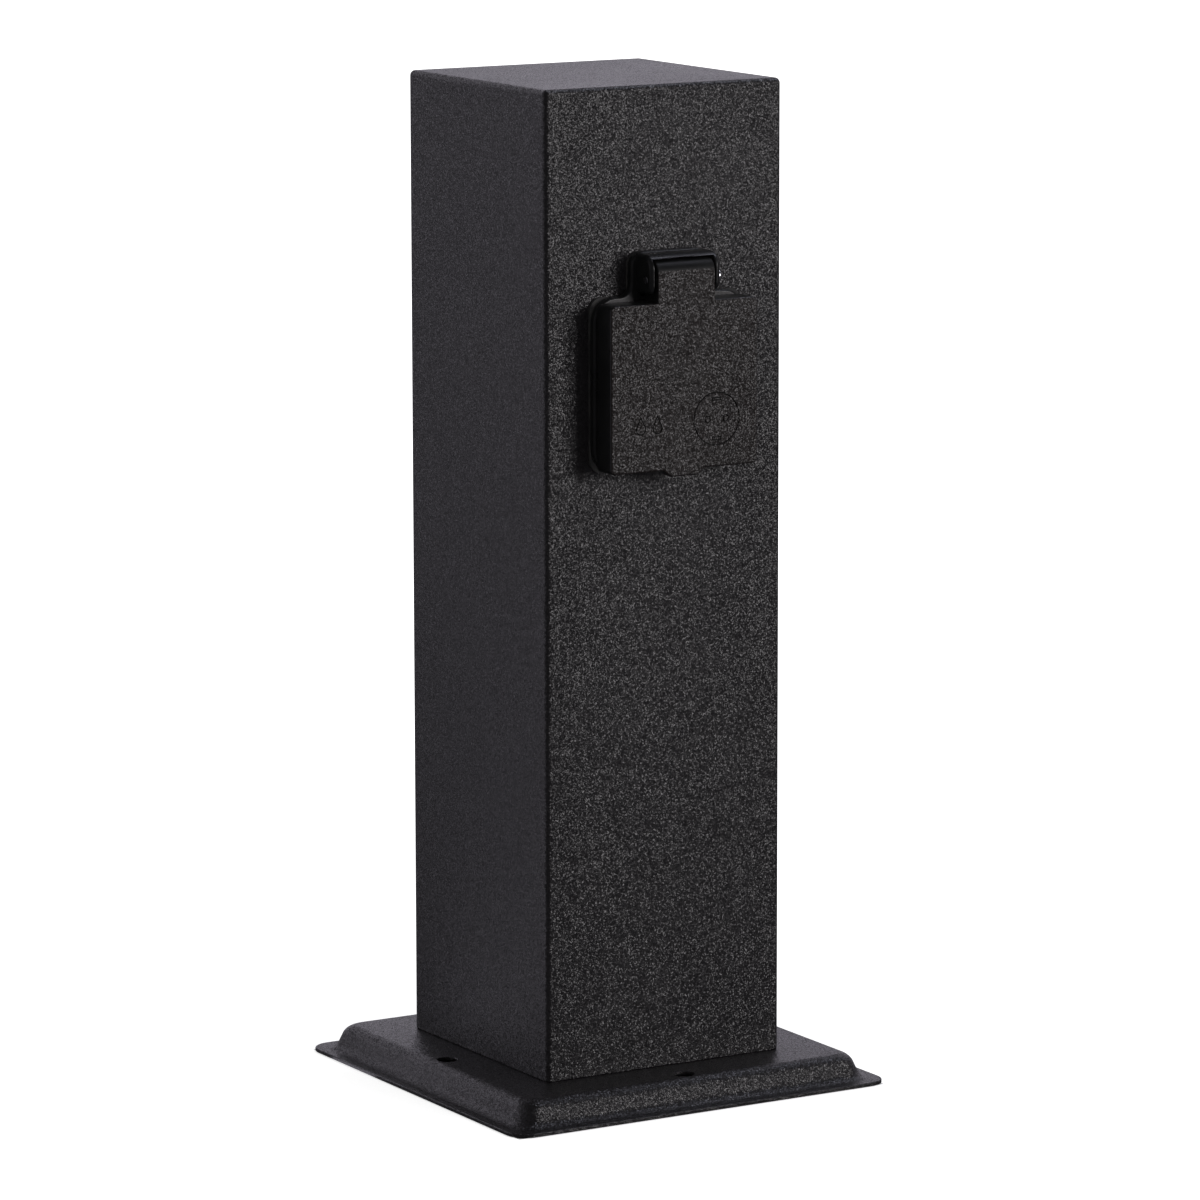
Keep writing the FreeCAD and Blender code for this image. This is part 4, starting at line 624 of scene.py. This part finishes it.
def make_frame_shell():
    f, h = FRAME, HOOD
    low, high = f.centre - f.half, f.centre + f.half
    outline = rounded_outline([
        (-f.half, low, f.corner), (f.half, low, f.corner), (f.half, high, f.corner),
        (f.neck, high, f.hollow), (f.neck, f.neck_top, f.neck_corner),
        (-f.neck, f.neck_top, f.neck_corner), (-f.neck, high, f.hollow), (-f.half, high, f.corner)])
    shell = slab("frame_shell", outline, "Y", out(f.front), out(f.back), f.rim, 0.3)

    def round_part(name, profile):
        return lathe(name, profile, ROUND_STEPS, "Y", (0, 0, f.centre))

    collar_front, collar_root, skirt_root = out(f.collar_front), out(f.front - 1), out(f.front - 1.5)
    collar = round_part("collar", [(0, collar_root), (f.collar, collar_root),
                                   (f.collar, collar_front + 0.3), (f.collar - 0.3, collar_front),
                                   (0, collar_front)])
    skirt_back = out(f.skirt_back)
    skirt = round_part("skirt", [(0, skirt_back), (f.skirt - 0.4, skirt_back),
                                 (f.skirt, skirt_back - 0.4), (f.skirt, skirt_root), (0, skirt_root)])
    side = rounded_outline([(out(h.front), h.low, h.foot_round), (out(h.root), h.low, 0),
                            (out(h.root), h.high, 0), (out(h.front), h.high, h.top_round)], 9)
    hood = slab("hood", side, "X", h.left, h.right, h.rim, h.rim, 5)
    merge(shell, [collar, skirt, hood], "UNION")
    room = slab("hood_room", rectangle(h.room_left, h.room_right, h.low - 5, h.under), "Y",
                out(h.front + 5), out(f.front))
    window = slab("window", rectangle(h.room_left, h.room_right, f.window_low, f.window_high), "Y",
                  out(f.front + 0.5), out(f.back - 1))
    seat_back = collar_front + f.seat_depth
    bore = round_part("bore", [(0, collar_front - 1), (f.seat, collar_front - 1), (f.seat, seat_back),
                               (f.bore, seat_back), (f.bore, skirt_back + 1), (0, skirt_back + 1)])
    cutters = [room, window, bore, pin_cutter(PIN.radius, h.left - 1, h.right + 1)]
    front, back = out(f.front), out(f.back - 1)
    sink = front + f.screw_head - f.screw_bore
    profile = [(0, front - 1), (f.screw_head, front - 1), (f.screw_head, front),
               (f.screw_bore, sink), (f.screw_bore, back), (0, back)]
    cutters += [lathe("screw_bore", profile, 32, "Y", (x, 0, z)) for x, z in four(f.screw, f.centre)]
    merge(shell, cutters)

    def hood_rim(point):
        in_front = point.y < out(f.front + 0.5)
        at_side = min(abs(point.x - h.room_left), abs(point.x - h.room_right)) < 0.02
        return in_front and point.z > h.low - 0.1 and (at_side or abs(point.z - h.under) < 0.02)

    round_edges(shell, h.inner_rim, hood_rim)
    smooth(shell)
    finish_piece(shell, "column", "socket_shell", "socket_frame")


make_frame_shell()


def tongue_outline(thin=0.0, back=FLAP.tongue_back, low=FLAP.wall):
    """The tongue from the side: flat front, bent top, and a back that swings round the pin."""
    front, top = out(FLAP.front - thin), FLAP.tongue_top - thin
    bend, swing = FLAP.tongue_round - thin, FLAP.tongue_swing - thin
    foot = HIGH - low
    first = math.asin((top - PIN.z) / swing)
    last = math.acos(min(1.0, (out(back) - PIN.y) / swing))
    points = [(front, foot)] + arc((front + bend, top - bend), bend, math.pi, QUARTER, 8)
    points += arc((PIN.y, PIN.z), swing, first, last, 6) + [(out(back), foot)]
    return points[::-1]


# Fine sunk outlines on the flap: two drops, and a round socket with its two holes
MARK_DEPTH = 0.35
MARK_LINE = 0.42
DROPS = (-18.6, -11.6)
DROP_HEIGHT = 252.4
SOCKET_MARK = (13.4, 253.2)
MARK_RADIUS = 9.8


def sunk_line(name, outline):
    """A groove along a closed outline: the outline without its inner part."""
    front, back = out(FLAP.front + 1), out(FLAP.front - MARK_DEPTH)
    whole = slab(name, outline, "Y", front, back)
    merge(whole, [slab(name + "_core", inset(outline, MARK_LINE), "Y", front - 1, back + 1)])
    return whole


def mark_cutters():
    x, z = SOCKET_MARK
    cutters = [sunk_line("drop", [(middle, DROP_HEIGHT + 3.9)]
                         + arc((middle, DROP_HEIGHT - 1.0), 2.1, math.radians(152),
                               math.radians(388), 16)) for middle in DROPS]
    cutters.append(sunk_line("ring", arc((x, z), MARK_RADIUS, 0, FULL, 72)[:-1]))
    for side in (-1, 1):
        cutters.append(sunk_line("dot", arc((x + side * 3.8, z), 1.35, 0, FULL, 24)[:-1]))
        level = z + side * (MARK_RADIUS - 2.6)
        cutters.append(sunk_line("bar", rectangle(x - 1.9, x + 1.9, level - 0.7, level + 0.7)))
    return cutters


def paint_flap(flap):
    """Grain on the flap's front (its lighter specks partly painted glints), a dull bend on the tongue,
    and painted shade in the marks: a darker film on their floors and walls for the shade in the grooves.
    """
    for material in (FLAP_GRAIN_GLINT, MARK_SHADE, FLAP_BEND):
        flap.data.materials.append(material)
    grain, mark, bend = 1, 2, 3
    bend_start = FLAP.tongue_top - FLAP.tongue_round
    for face in flap.data.polygons:
        x, y, z = face.center / MM
        depth = y - out(FLAP.front)
        if face.normal.y < -0.6 and depth < 0.9 and z < bend_start + 0.6:
            face.material_index = grain
        elif z > bend_start and face.normal.z > 0 and face.normal.y < 0.3:
            face.material_index = bend
        # The marks' floors and walls take the painted shade film.
        if abs(x) < 28 and 240 < z < 263.5 and 0.01 < depth < MARK_DEPTH + 0.05:
            face.material_index = mark


def make_flap():
    f = FLAP
    outline = rectangle(-f.half, f.half, LOW, f.top, f.corner)
    flap = slab("flap_shell", outline, "Y", out(f.front), out(f.back), f.edge, 0.3, 5)
    tongue = slab("tongue", tongue_outline(), "X", f.tongue_left, f.tongue_right,
                  f.tongue_edge, f.tongue_edge)
    tab_low, tab_high = LOW - f.tab_drop, LOW + f.wall * 0.8
    tab = slab("tab", rounded_outline([
        (-f.tab_root, LOW, 0), (-f.tab_foot, tab_low, 0.9), (f.tab_foot, tab_low, 0.9),
        (f.tab_root, LOW, 0), (f.tab_root - 1, tab_high, 0), (1 - f.tab_root, tab_high, 0)]), "Y",
        out(f.front), out(f.front - f.tab_depth), 0.7, 0.5)
    merge(flap, [tongue, tab], "UNION")
    inside = rectangle(f.wall - f.half, f.half - f.wall, LOW + f.wall, HIGH - f.wall, f.inner_corner)
    hollow = slab("hollow", inside, "Y", out(f.front - f.wall), out(f.back - 2), 0.6)
    barrel = slab("barrel", tongue_outline(f.tongue_wall, FRAME.front, f.wall + 0.5), "X",
                  f.tongue_left + f.cheek, f.tongue_right - f.cheek)
    bore = pin_cutter(PIN.radius + 0.05, -f.tongue_right - 1, f.tongue_right + 1)
    slot_x = SPRING.pitch * SPRING.turns / 2
    slot = rectangle(slot_x - 0.9, slot_x + 0.9, f.tongue_top - 2.5, f.tongue_top + 1)
    leg_slot = slab("leg_slot", slot, "Y", PIN.y + 2.8, out(f.back) + 2)
    merge(flap, [hollow, barrel, bore, leg_slot] + mark_cutters())
    smooth(flap)
    finish_piece(flap, "flap", "flap_shell", "flap_lid")
    paint_flap(flap)


make_flap()


def make_hinge_pin():
    p, tail, head_low, end = PIN, HOOD.left, HOOD.right, HOOD.right + PIN.head_height
    profile = [(0, tail), (p.radius - 0.3, tail), (p.radius, tail + 0.3), (p.radius, head_low),
               (p.head, head_low)]
    profile += [(p.head - depth, end - short) for short, depth in rim(p.head_edge)] + [(0, end)]
    pin = lathe("hinge_pin_turned", profile, 40, "X", (0, p.y, p.z))
    smooth(pin)
    finish_piece(pin, "column", "stainless", "hinge_pin")


make_hinge_pin()

# ---------------------------------------------------------------- closing spring


def wire_path(name, points):
    """A round wire along a smooth line through the points, as a mesh."""
    curve = bpy.data.curves.new(name, "CURVE")
    curve.dimensions = "3D"
    curve.bevel_depth = SPRING.wire / 2 * MM
    curve.bevel_resolution = 3
    curve.resolution_u = 6
    curve.use_fill_caps = True
    spline = curve.splines.new("NURBS")
    spline.points.add(len(points) - 1)
    for point, spot in zip(spline.points, points):
        point.co = (spot[0] * MM, spot[1] * MM, spot[2] * MM, 1)
    spline.order_u = 3
    spline.use_endpoint_u = True
    holder = bpy.data.objects.new(name, curve)
    scene.collection.objects.link(holder)
    graph = bpy.context.evaluated_depsgraph_get()
    mesh = bpy.data.meshes.new_from_object(holder.evaluated_get(graph))
    bpy.data.objects.remove(holder)
    mesh.name = name
    piece = link_mesh(name, mesh)
    tidy(mesh)
    smooth(piece, 60)
    return piece


def make_spring():
    """The coil with its leg on the frame, and the leg in the flap that turns with the flap."""
    s = SPRING
    count = 12
    reach = s.radius / math.cos(math.pi / count)

    def place(part, radius):
        angle = math.pi - part * FULL
        return Vector((s.pitch * (part - s.turns / 2), PIN.y + radius * math.cos(angle),
                       PIN.z + radius * math.sin(angle)))

    start, end = place(0, s.radius), place(s.turns, s.radius)
    coil = [place((step + 0.5) / count, reach) for step in range(int(s.turns * count))]
    angle = math.pi - s.turns * FULL
    leg = Vector((0.0, math.sin(angle), -math.cos(angle))) * (s.leg / 2)
    bend = end + leg
    foot = Vector((bend.x, out(s.foot_depth), s.foot_height))
    piece = wire_path("spring_coil", [start, *coil, end, end + leg * 0.8, bend,
                                      bend + (foot - bend) * 0.12, foot])
    finish_piece(piece, "column", "stainless", "hinge_spring")
    drop = Vector((0, 0, s.leg / 2))
    piece = wire_path("spring_leg", [start, start - drop, start - 2 * drop])
    finish_piece(piece, "flap", "stainless")


make_spring()

# ---------------------------------------------------------------- screws, nuts and washers


class Shapes(Nodes):
    """A geometry tree with named sizes, in millimetres, that sets one shape at many points."""

    def __init__(self, name, sizes):
        super().__init__(bpy.data.node_groups.new(name, "GeometryNodeTree"))
        face = self.tree.interface
        face.new_socket("Points", in_out="INPUT", socket_type="NodeSocketGeometry")
        for label, size in sizes.items():
            socket = face.new_socket(label, in_out="INPUT", socket_type="NodeSocketFloat")
            socket.default_value = size * MM
        face.new_socket("Geometry", in_out="OUTPUT", socket_type="NodeSocketGeometry")
        self.start = self.add("NodeGroupInput")
        self.end = self.add("NodeGroupOutput")

    def sizes(self, *labels):
        return [self.start.outputs[label] for label in labels]

    def half(self, value):
        return self.times(value, 0.5)

    def minus(self, value):
        return self.times(value, -1.0)

    def moved(self, shape, low=0.0, turn=(0, 0, 0)):
        """The shape turned round its own foot and lifted to a height."""
        node = self.add("GeometryNodeTransform")
        self.link(shape, node.inputs["Geometry"])
        self.link(self.fill(self.add("ShaderNodeCombineXYZ"), 0.0, 0.0, low),
                  node.inputs["Translation"])
        node.inputs["Rotation"].default_value = turn
        return node.outputs[0]

    def rod(self, radius, length, sides=24, low=0.0, top_radius=None):
        """A round part that stands on the height low; top_radius makes it a cone."""
        node = self.add("GeometryNodeMeshCone")
        node.inputs["Vertices"].default_value = sides
        self.put(node.inputs["Radius Bottom"], radius)
        self.put(node.inputs["Radius Top"], radius if top_radius is None else top_radius)
        self.put(node.inputs["Depth"], length)
        return self.moved(node.outputs["Mesh"], low)

    def bore(self, radius):
        """A round cutter that goes through any of these parts."""
        return self.rod(radius, 0.03, 24, -0.005)

    def block(self, x, y, z, low=0.0):
        node = self.add("GeometryNodeMeshCube")
        self.link(self.fill(self.add("ShaderNodeCombineXYZ"), x, y, z), node.inputs["Size"])
        return self.moved(node.outputs["Mesh"], self.math("ADD", low, self.half(z)))

    def solid(self, operation, first, *others):
        node = self.add("GeometryNodeMeshBoolean", operation=operation, solver="EXACT")
        self.link(first, node.inputs["Mesh 1" if operation == "DIFFERENCE" else "Mesh 2"])
        for other in others:
            self.link(other, node.inputs["Mesh 2"])
        return node.outputs["Mesh"]

    def finish(self, shape, turn, material):
        """One shape on each point, turned the same way."""
        node = self.add("GeometryNodeInstanceOnPoints")
        self.link(self.start.outputs["Points"], node.inputs["Points"])
        self.link(shape, node.inputs["Instance"])
        node.inputs["Rotation"].default_value = turn
        real = self.add("GeometryNodeRealizeInstances")
        self.link(node.outputs[0], real.inputs[0])
        painted = self.add("GeometryNodeSetMaterial")
        painted.inputs["Material"].default_value = material
        self.link(real.outputs[0], painted.inputs["Geometry"])
        self.link(painted.outputs[0], self.end.inputs[0])


def repeated(name, node, shape, places, turn, sizes):
    """Sets a fastener at every place by a Geometry Nodes tree and keeps the result as a mesh."""
    tree = Shapes(name, sizes)
    tree.finish(shape(tree), turn, FINISH_OF[SLOT_OF[node]])
    piece = from_points(name, places)
    modifier = piece.modifiers.new("fasteners", "NODES")
    modifier.node_group = tree.tree
    for label, size in sizes.items():
        modifier[tree.tree.interface.items_tree[label].identifier] = size * MM
    bake_modifiers(piece)
    tidy(piece.data, outward=False)
    smooth(piece, 35)
    finish_piece(piece, "column", SLOT_OF[node], node)


OUTWARD = (QUARTER, 0, 0)               # the head looks to the front
REARWARD = (-QUARTER, 0, 0)
DOWNWARD = (math.pi, 0, 0)
LEFTWARD = (0, -QUARTER, 0)
UPWARD = (0, 0, 0)


def countersunk_screw(t):
    """Its head's face lies at height 0 and the shank goes down from it."""
    head, shank, length = t.sizes("Head radius", "Shank radius", "Length")
    along, across, deep = t.sizes("Cross length", "Cross width", "Cross depth")
    sink = t.math("SUBTRACT", head, shank)
    rod = t.rod(shank, t.math("SUBTRACT", length, 0.0002), 24, t.minus(length))
    body = t.solid("UNION", rod, t.rod(shank, sink, 32, t.minus(sink), head))
    low, tall = t.minus(deep), t.times(deep, 2.0)
    return t.solid("DIFFERENCE", body, t.block(along, across, tall, low),
                   t.block(across, along, tall, low))


def headed_screw(t, sides, taper):
    """Its head stands on height 0 and the shank goes down from it."""
    head, height, shank, length = t.sizes("Head radius", "Head height", "Shank radius", "Length")
    rod = t.rod(shank, t.math("ADD", length, t.half(height)), 20, t.minus(length))
    return t.solid("UNION", rod, t.rod(head, height, sides, 0.0, t.times(head, taper)))


def slotted_screw(t):
    head, height, width = t.sizes("Head radius", "Head height", "Slot width")
    slot = t.block(t.times(head, 2.4), width, height, t.half(height))
    return t.solid("DIFFERENCE", headed_screw(t, 28, 0.9), slot)


def square_drive_screw(t):
    height, drive = t.sizes("Head height", "Drive")
    recess = t.block(drive, drive, height, t.half(height))
    return t.solid("DIFFERENCE", headed_screw(t, 32, 0.93), recess)


def set_screw(t):
    radius, length, width = t.sizes("Radius", "Length", "Slot width")
    slot = t.block(t.times(radius, 2.4), width, 0.004, -0.001)
    return t.solid("DIFFERENCE", t.rod(radius, length, 20, t.minus(length)), slot)


def washer(t):
    radius, bore, thickness = t.sizes("Radius", "Bore", "Thickness")
    return t.solid("DIFFERENCE", t.rod(radius, thickness, 36), t.rod(bore, 0.01, 28, -0.003))


def rivet_nut(t):
    """Flange below height 0, barrel and bulge above it."""
    flange, height, barrel, length = t.sizes("Flange radius", "Flange height", "Barrel radius", "Length")
    bulge, tall, wall, bore = t.sizes("Bulge radius", "Bulge height", "Wall", "Bore")
    low = t.minus(height)
    body = t.solid("UNION", t.rod(flange, height, 28, low), t.rod(barrel, length, 24, low),
                   t.rod(bulge, tall, 28, wall))
    return t.solid("DIFFERENCE", body, t.bore(bore))


def lug(t):
    width, thickness, bore = t.sizes("Width", "Thickness", "Bore")
    return t.solid("DIFFERENCE", t.block(width, width, thickness), t.bore(bore))


def sleeve(t):
    """A brass tube with two tapped holes in its side."""
    radius, bore, length, hole = t.sizes("Radius", "Bore", "Length", "Hole radius")
    holes = [t.moved(t.rod(hole, radius, 16), height, LEFTWARD)
             for height in t.sizes("Low hole", "High hole")]
    return t.solid("DIFFERENCE", t.rod(radius, length, 28), t.bore(bore), *holes)


SOCKET_Z = FRAME.centre
FRAME_SCREWS = four(FRAME.screw, SOCKET_Z)
RECESS_FLOOR = -41.5
LUGS = four(PAN.lug)
WASHER_LOW = PAN.height - PAN.sheet - 1.0
CLAMP_SCREWS = [(-16, -24, SOCKET_Z), (16, -24, SOCKET_Z), (0, -14.2, SOCKET_Z)]
BLOCK_SCREWS = [(33.5, 6, 64), (33.5, 6, 76)]
POLES = (-12, 0, 12)
POLE_SCREWS = [(34.5, y, z) for y in POLES for z in (65, 75)]
POLE_SLEEVES = [(40, y, 62) for y in POLES]

repeated("frame_screw_set", "frame_screws", countersunk_screw,
         [(x, out(FRAME.front), z) for x, z in FRAME_SCREWS], OUTWARD,
         {"Head radius": 3.8, "Shank radius": 2.0, "Length": 13.0, "Cross length": 4.6,
          "Cross width": 1.0, "Cross depth": 1.5})
repeated("recess_screw", "centre_screw", countersunk_screw, [(0, RECESS_FLOOR, SOCKET_Z)], OUTWARD,
         {"Head radius": 3.25, "Shank radius": 1.75, "Length": 11.0, "Cross length": 4.0,
          "Cross width": 0.9, "Cross depth": 1.3})
repeated("rivet_nut_set", "rivet_nuts", rivet_nut, [(x, out(0), z) for x, z in FRAME_SCREWS], REARWARD,
         {"Flange radius": 4.5, "Flange height": 0.8, "Barrel radius": 3.0, "Length": 11.0,
          "Bulge radius": 3.75, "Bulge height": 1.6, "Wall": 2.0, "Bore": 2.0})
repeated("foot_screw_set", "base_screws", square_drive_screw,
         [(x, y, WASHER_LOW) for x, y in LUGS], DOWNWARD,
         {"Head radius": 4.5, "Head height": 3.0, "Shank radius": 2.5, "Length": 9.0, "Drive": 3.0})
repeated("foot_washer_set", "base_washers", washer, [(x, y, WASHER_LOW) for x, y in LUGS], UPWARD,
         {"Radius": 6.0, "Bore": 2.8, "Thickness": 1.0})
repeated("foot_lug_set", "corner_lugs", lug, [(x, y, PAN.height) for x, y in LUGS], UPWARD,
         {"Width": 22.0, "Thickness": 4.0, "Bore": 2.5})
repeated("clamp_screw_set", "socket_terminal_screws", slotted_screw, CLAMP_SCREWS, REARWARD,
         {"Head radius": 2.5, "Head height": 1.8, "Shank radius": 1.5, "Length": 2.0,
          "Slot width": 0.8})
repeated("block_screw_set", "block_screws", slotted_screw, BLOCK_SCREWS, LEFTWARD,
         {"Head radius": 2.5, "Head height": 1.6, "Shank radius": 1.5, "Length": 14.5,
          "Slot width": 0.7})
repeated("pole_screw_set", "terminal_screws", set_screw, POLE_SCREWS, LEFTWARD,
         {"Radius": 1.5, "Length": 4.0, "Slot width": 0.6})
repeated("pole_sleeve_set", "terminal_sleeves", sleeve, POLE_SLEEVES, UPWARD,
         {"Radius": 2.6, "Bore": 1.7, "Length": 16.0, "Hole radius": 1.5, "Low hole": 3.0,
          "High hole": 13.0})

# ---------------------------------------------------------------- pieces that keep their CAD form

KEPT = {
    "flange_gasket": "frame_seal", "lid_gasket": "flap_seal", "cable_grommet": "cable_entry",
    "socket_cup": "plug_recess", "contact_carrier": "contact_block", "live_contact": "live_sleeve",
    "neutral_contact": "neutral_sleeve", "earth_bracket": "earth_strip", "earth_clamp": "earth_cube",
    "terminal_bracket": "block_bracket", "terminal_block": "supply_block", "earth_stud": "earth_post",
    "earth_nut": "earth_hex_nut", "ring_terminal": "earth_ring", "live_wire": "live_lead",
    "neutral_wire": "neutral_lead", "earth_wire": "earth_lead", "earth_link_wire": "earth_link",
}
for kept_node, kept_name in KEPT.items():
    kept_piece = merged_copy(kept_node, kept_name)
    smooth(kept_piece, 34)
    finish_piece(kept_piece, "flap" if kept_node == "lid_gasket" else "column", SLOT_OF[kept_node],
                 kept_node)

# ---------------------------------------------------------------- studio

COOL_WHITE = (0.98, 0.93, 1.06, 1)
FLOOR_HALF = 12.0                       # metres
FLOOR_DROP = 0.0002
FLOOR_SEEN = (0.6, 1.0)                 # the floor's own light near the object and far from it
FLOOR_MIRRORED = (0.04, 0.14)           # what a reflection sees of the floor, front to back
FLOOR_BEAM = (-119, 9, 1.0)             # bearing, half width and strength of a bright strip
COVERED = 0.0785                        # half of the square under the pan, which has no light
BACKDROP_MIRRORED = (0.06, 0.65)        # what a reflection sees in front and behind
OVERHEAD_SHARE = 0.1
AMBIENT = 0.65


def glossy_or_clear(n, path):
    return n.math("MAXIMUM", path.outputs["Is Glossy Ray"], path.outputs["Is Transmission Ray"])


def glow(n, strength, colour=(1, 1, 1, 1)):
    return n.fill(n.add("ShaderNodeEmission"), colour, strength)


def make_floor():
    mesh = bpy.data.meshes.new("floor")
    edge = FLOOR_HALF
    mesh.from_pydata([(-edge, -edge, -FLOOR_DROP), (edge, -edge, -FLOOR_DROP),
                      (edge, edge, -FLOOR_DROP), (-edge, edge, -FLOOR_DROP)], [], [(0, 1, 2, 3)])
    n = Finish("pale_floor")
    n.tree.nodes.remove(n.shader)
    cloth = n.fill(n.add("ShaderNodeBsdfDiffuse"),
                   n.tint(n.noise(0.8), 0.3, 0.7, grey(0.78), grey(0.82)))
    side = n.add("ShaderNodeSeparateXYZ")
    n.link(n.where, side.inputs[0])
    x, y = side.outputs["X"], side.outputs["Y"]
    under = [n.math("LESS_THAN", n.math("ABSOLUTE", way), COVERED) for way in (x, y)]
    uncovered = n.math("SUBTRACT", 1.0, n.times(*under))
    far = n.add("ShaderNodeVectorMath", operation="LENGTH")
    n.link(n.where, far.inputs[0])
    seen = n.spread(far.outputs["Value"], 0.15, 0.7, *FLOOR_SEEN)
    path = n.add("ShaderNodeLightPath")
    both = n.fill(n.add("ShaderNodeAddShader"), cloth,
                  glow(n, n.times(n.times(path.outputs["Is Camera Ray"], seen), uncovered)))
    beam, half_width, strength = FLOOR_BEAM
    off = n.math("SUBTRACT", n.math("ARCTAN2", x, n.times(y, -1.0)), math.radians(beam))
    in_beam = n.math("LESS_THAN", n.math("ABSOLUTE", off), math.radians(half_width))
    light = n.math("ADD", n.spread(y, -0.3, 0.9, *FLOOR_MIRRORED), n.times(in_beam, strength))
    reflected = glow(n, n.times(light, uncovered), COOL_WHITE)
    n.link(n.mix(glossy_or_clear(n, path), both, reflected),
           n.tree.nodes["Material Output"].inputs["Surface"])
    mesh.materials.append(n.material)
    link_mesh("floor", mesh)


def make_world():
    world = bpy.data.worlds.new("studio")
    scene.world = world
    world.use_nodes = True
    n = Nodes(world.node_tree)
    ambient = n.fill(n.tree.nodes["Background"], (1, 1, 1, 1), AMBIENT)
    way = n.add("ShaderNodeSeparateXYZ")
    n.link(n.add("ShaderNodeTexCoord").outputs["Generated"], way.inputs[0])
    behind = n.spread(way.outputs["Y"], -0.3, 0.7, *BACKDROP_MIRRORED)
    low = n.spread(way.outputs["Z"], 0.3, 0.9, 1.0, OVERHEAD_SHARE)
    backdrop = n.fill(n.add("ShaderNodeBackground"),
                      n.blend(n.times(behind, low), grey(0.0), COOL_WHITE), 1.0)
    white = n.fill(n.add("ShaderNodeBackground"), (1, 1, 1, 1), 1.0)
    path = n.add("ShaderNodeLightPath")
    around = n.mix(glossy_or_clear(n, path), ambient, backdrop)
    n.link(n.mix(path.outputs["Is Camera Ray"], around, white),
           n.tree.nodes["World Output"].inputs["Surface"])


def softbox(name, azimuth, elevation, distance, width, height, power, colour):
    """An area lamp at a bearing from the object's middle, facing it."""
    way = bearing(math.radians(azimuth), math.radians(elevation))
    data = bpy.data.lights.new(name, "AREA")
    data.shape = "RECTANGLE"
    data.size = width
    data.size_y = height
    data.energy = power
    data.color = colour
    lamp = bpy.data.objects.new(name, data)
    lamp.location = way * distance + Vector((0, 0, 0.19))
    lamp.rotation_mode = "QUATERNION"
    lamp.rotation_quaternion = way.to_track_quat("Z", "Y")
    scene.collection.objects.link(lamp)


make_floor()
make_world()
softbox("key", 31, 11, 2.5, 0.9, 0.9, 20.5, (1.0, 0.96, 0.98))
softbox("overhead", 88, 58, 1.7, 0.8, 0.4, 4.5, (0.92, 0.94, 1.1))
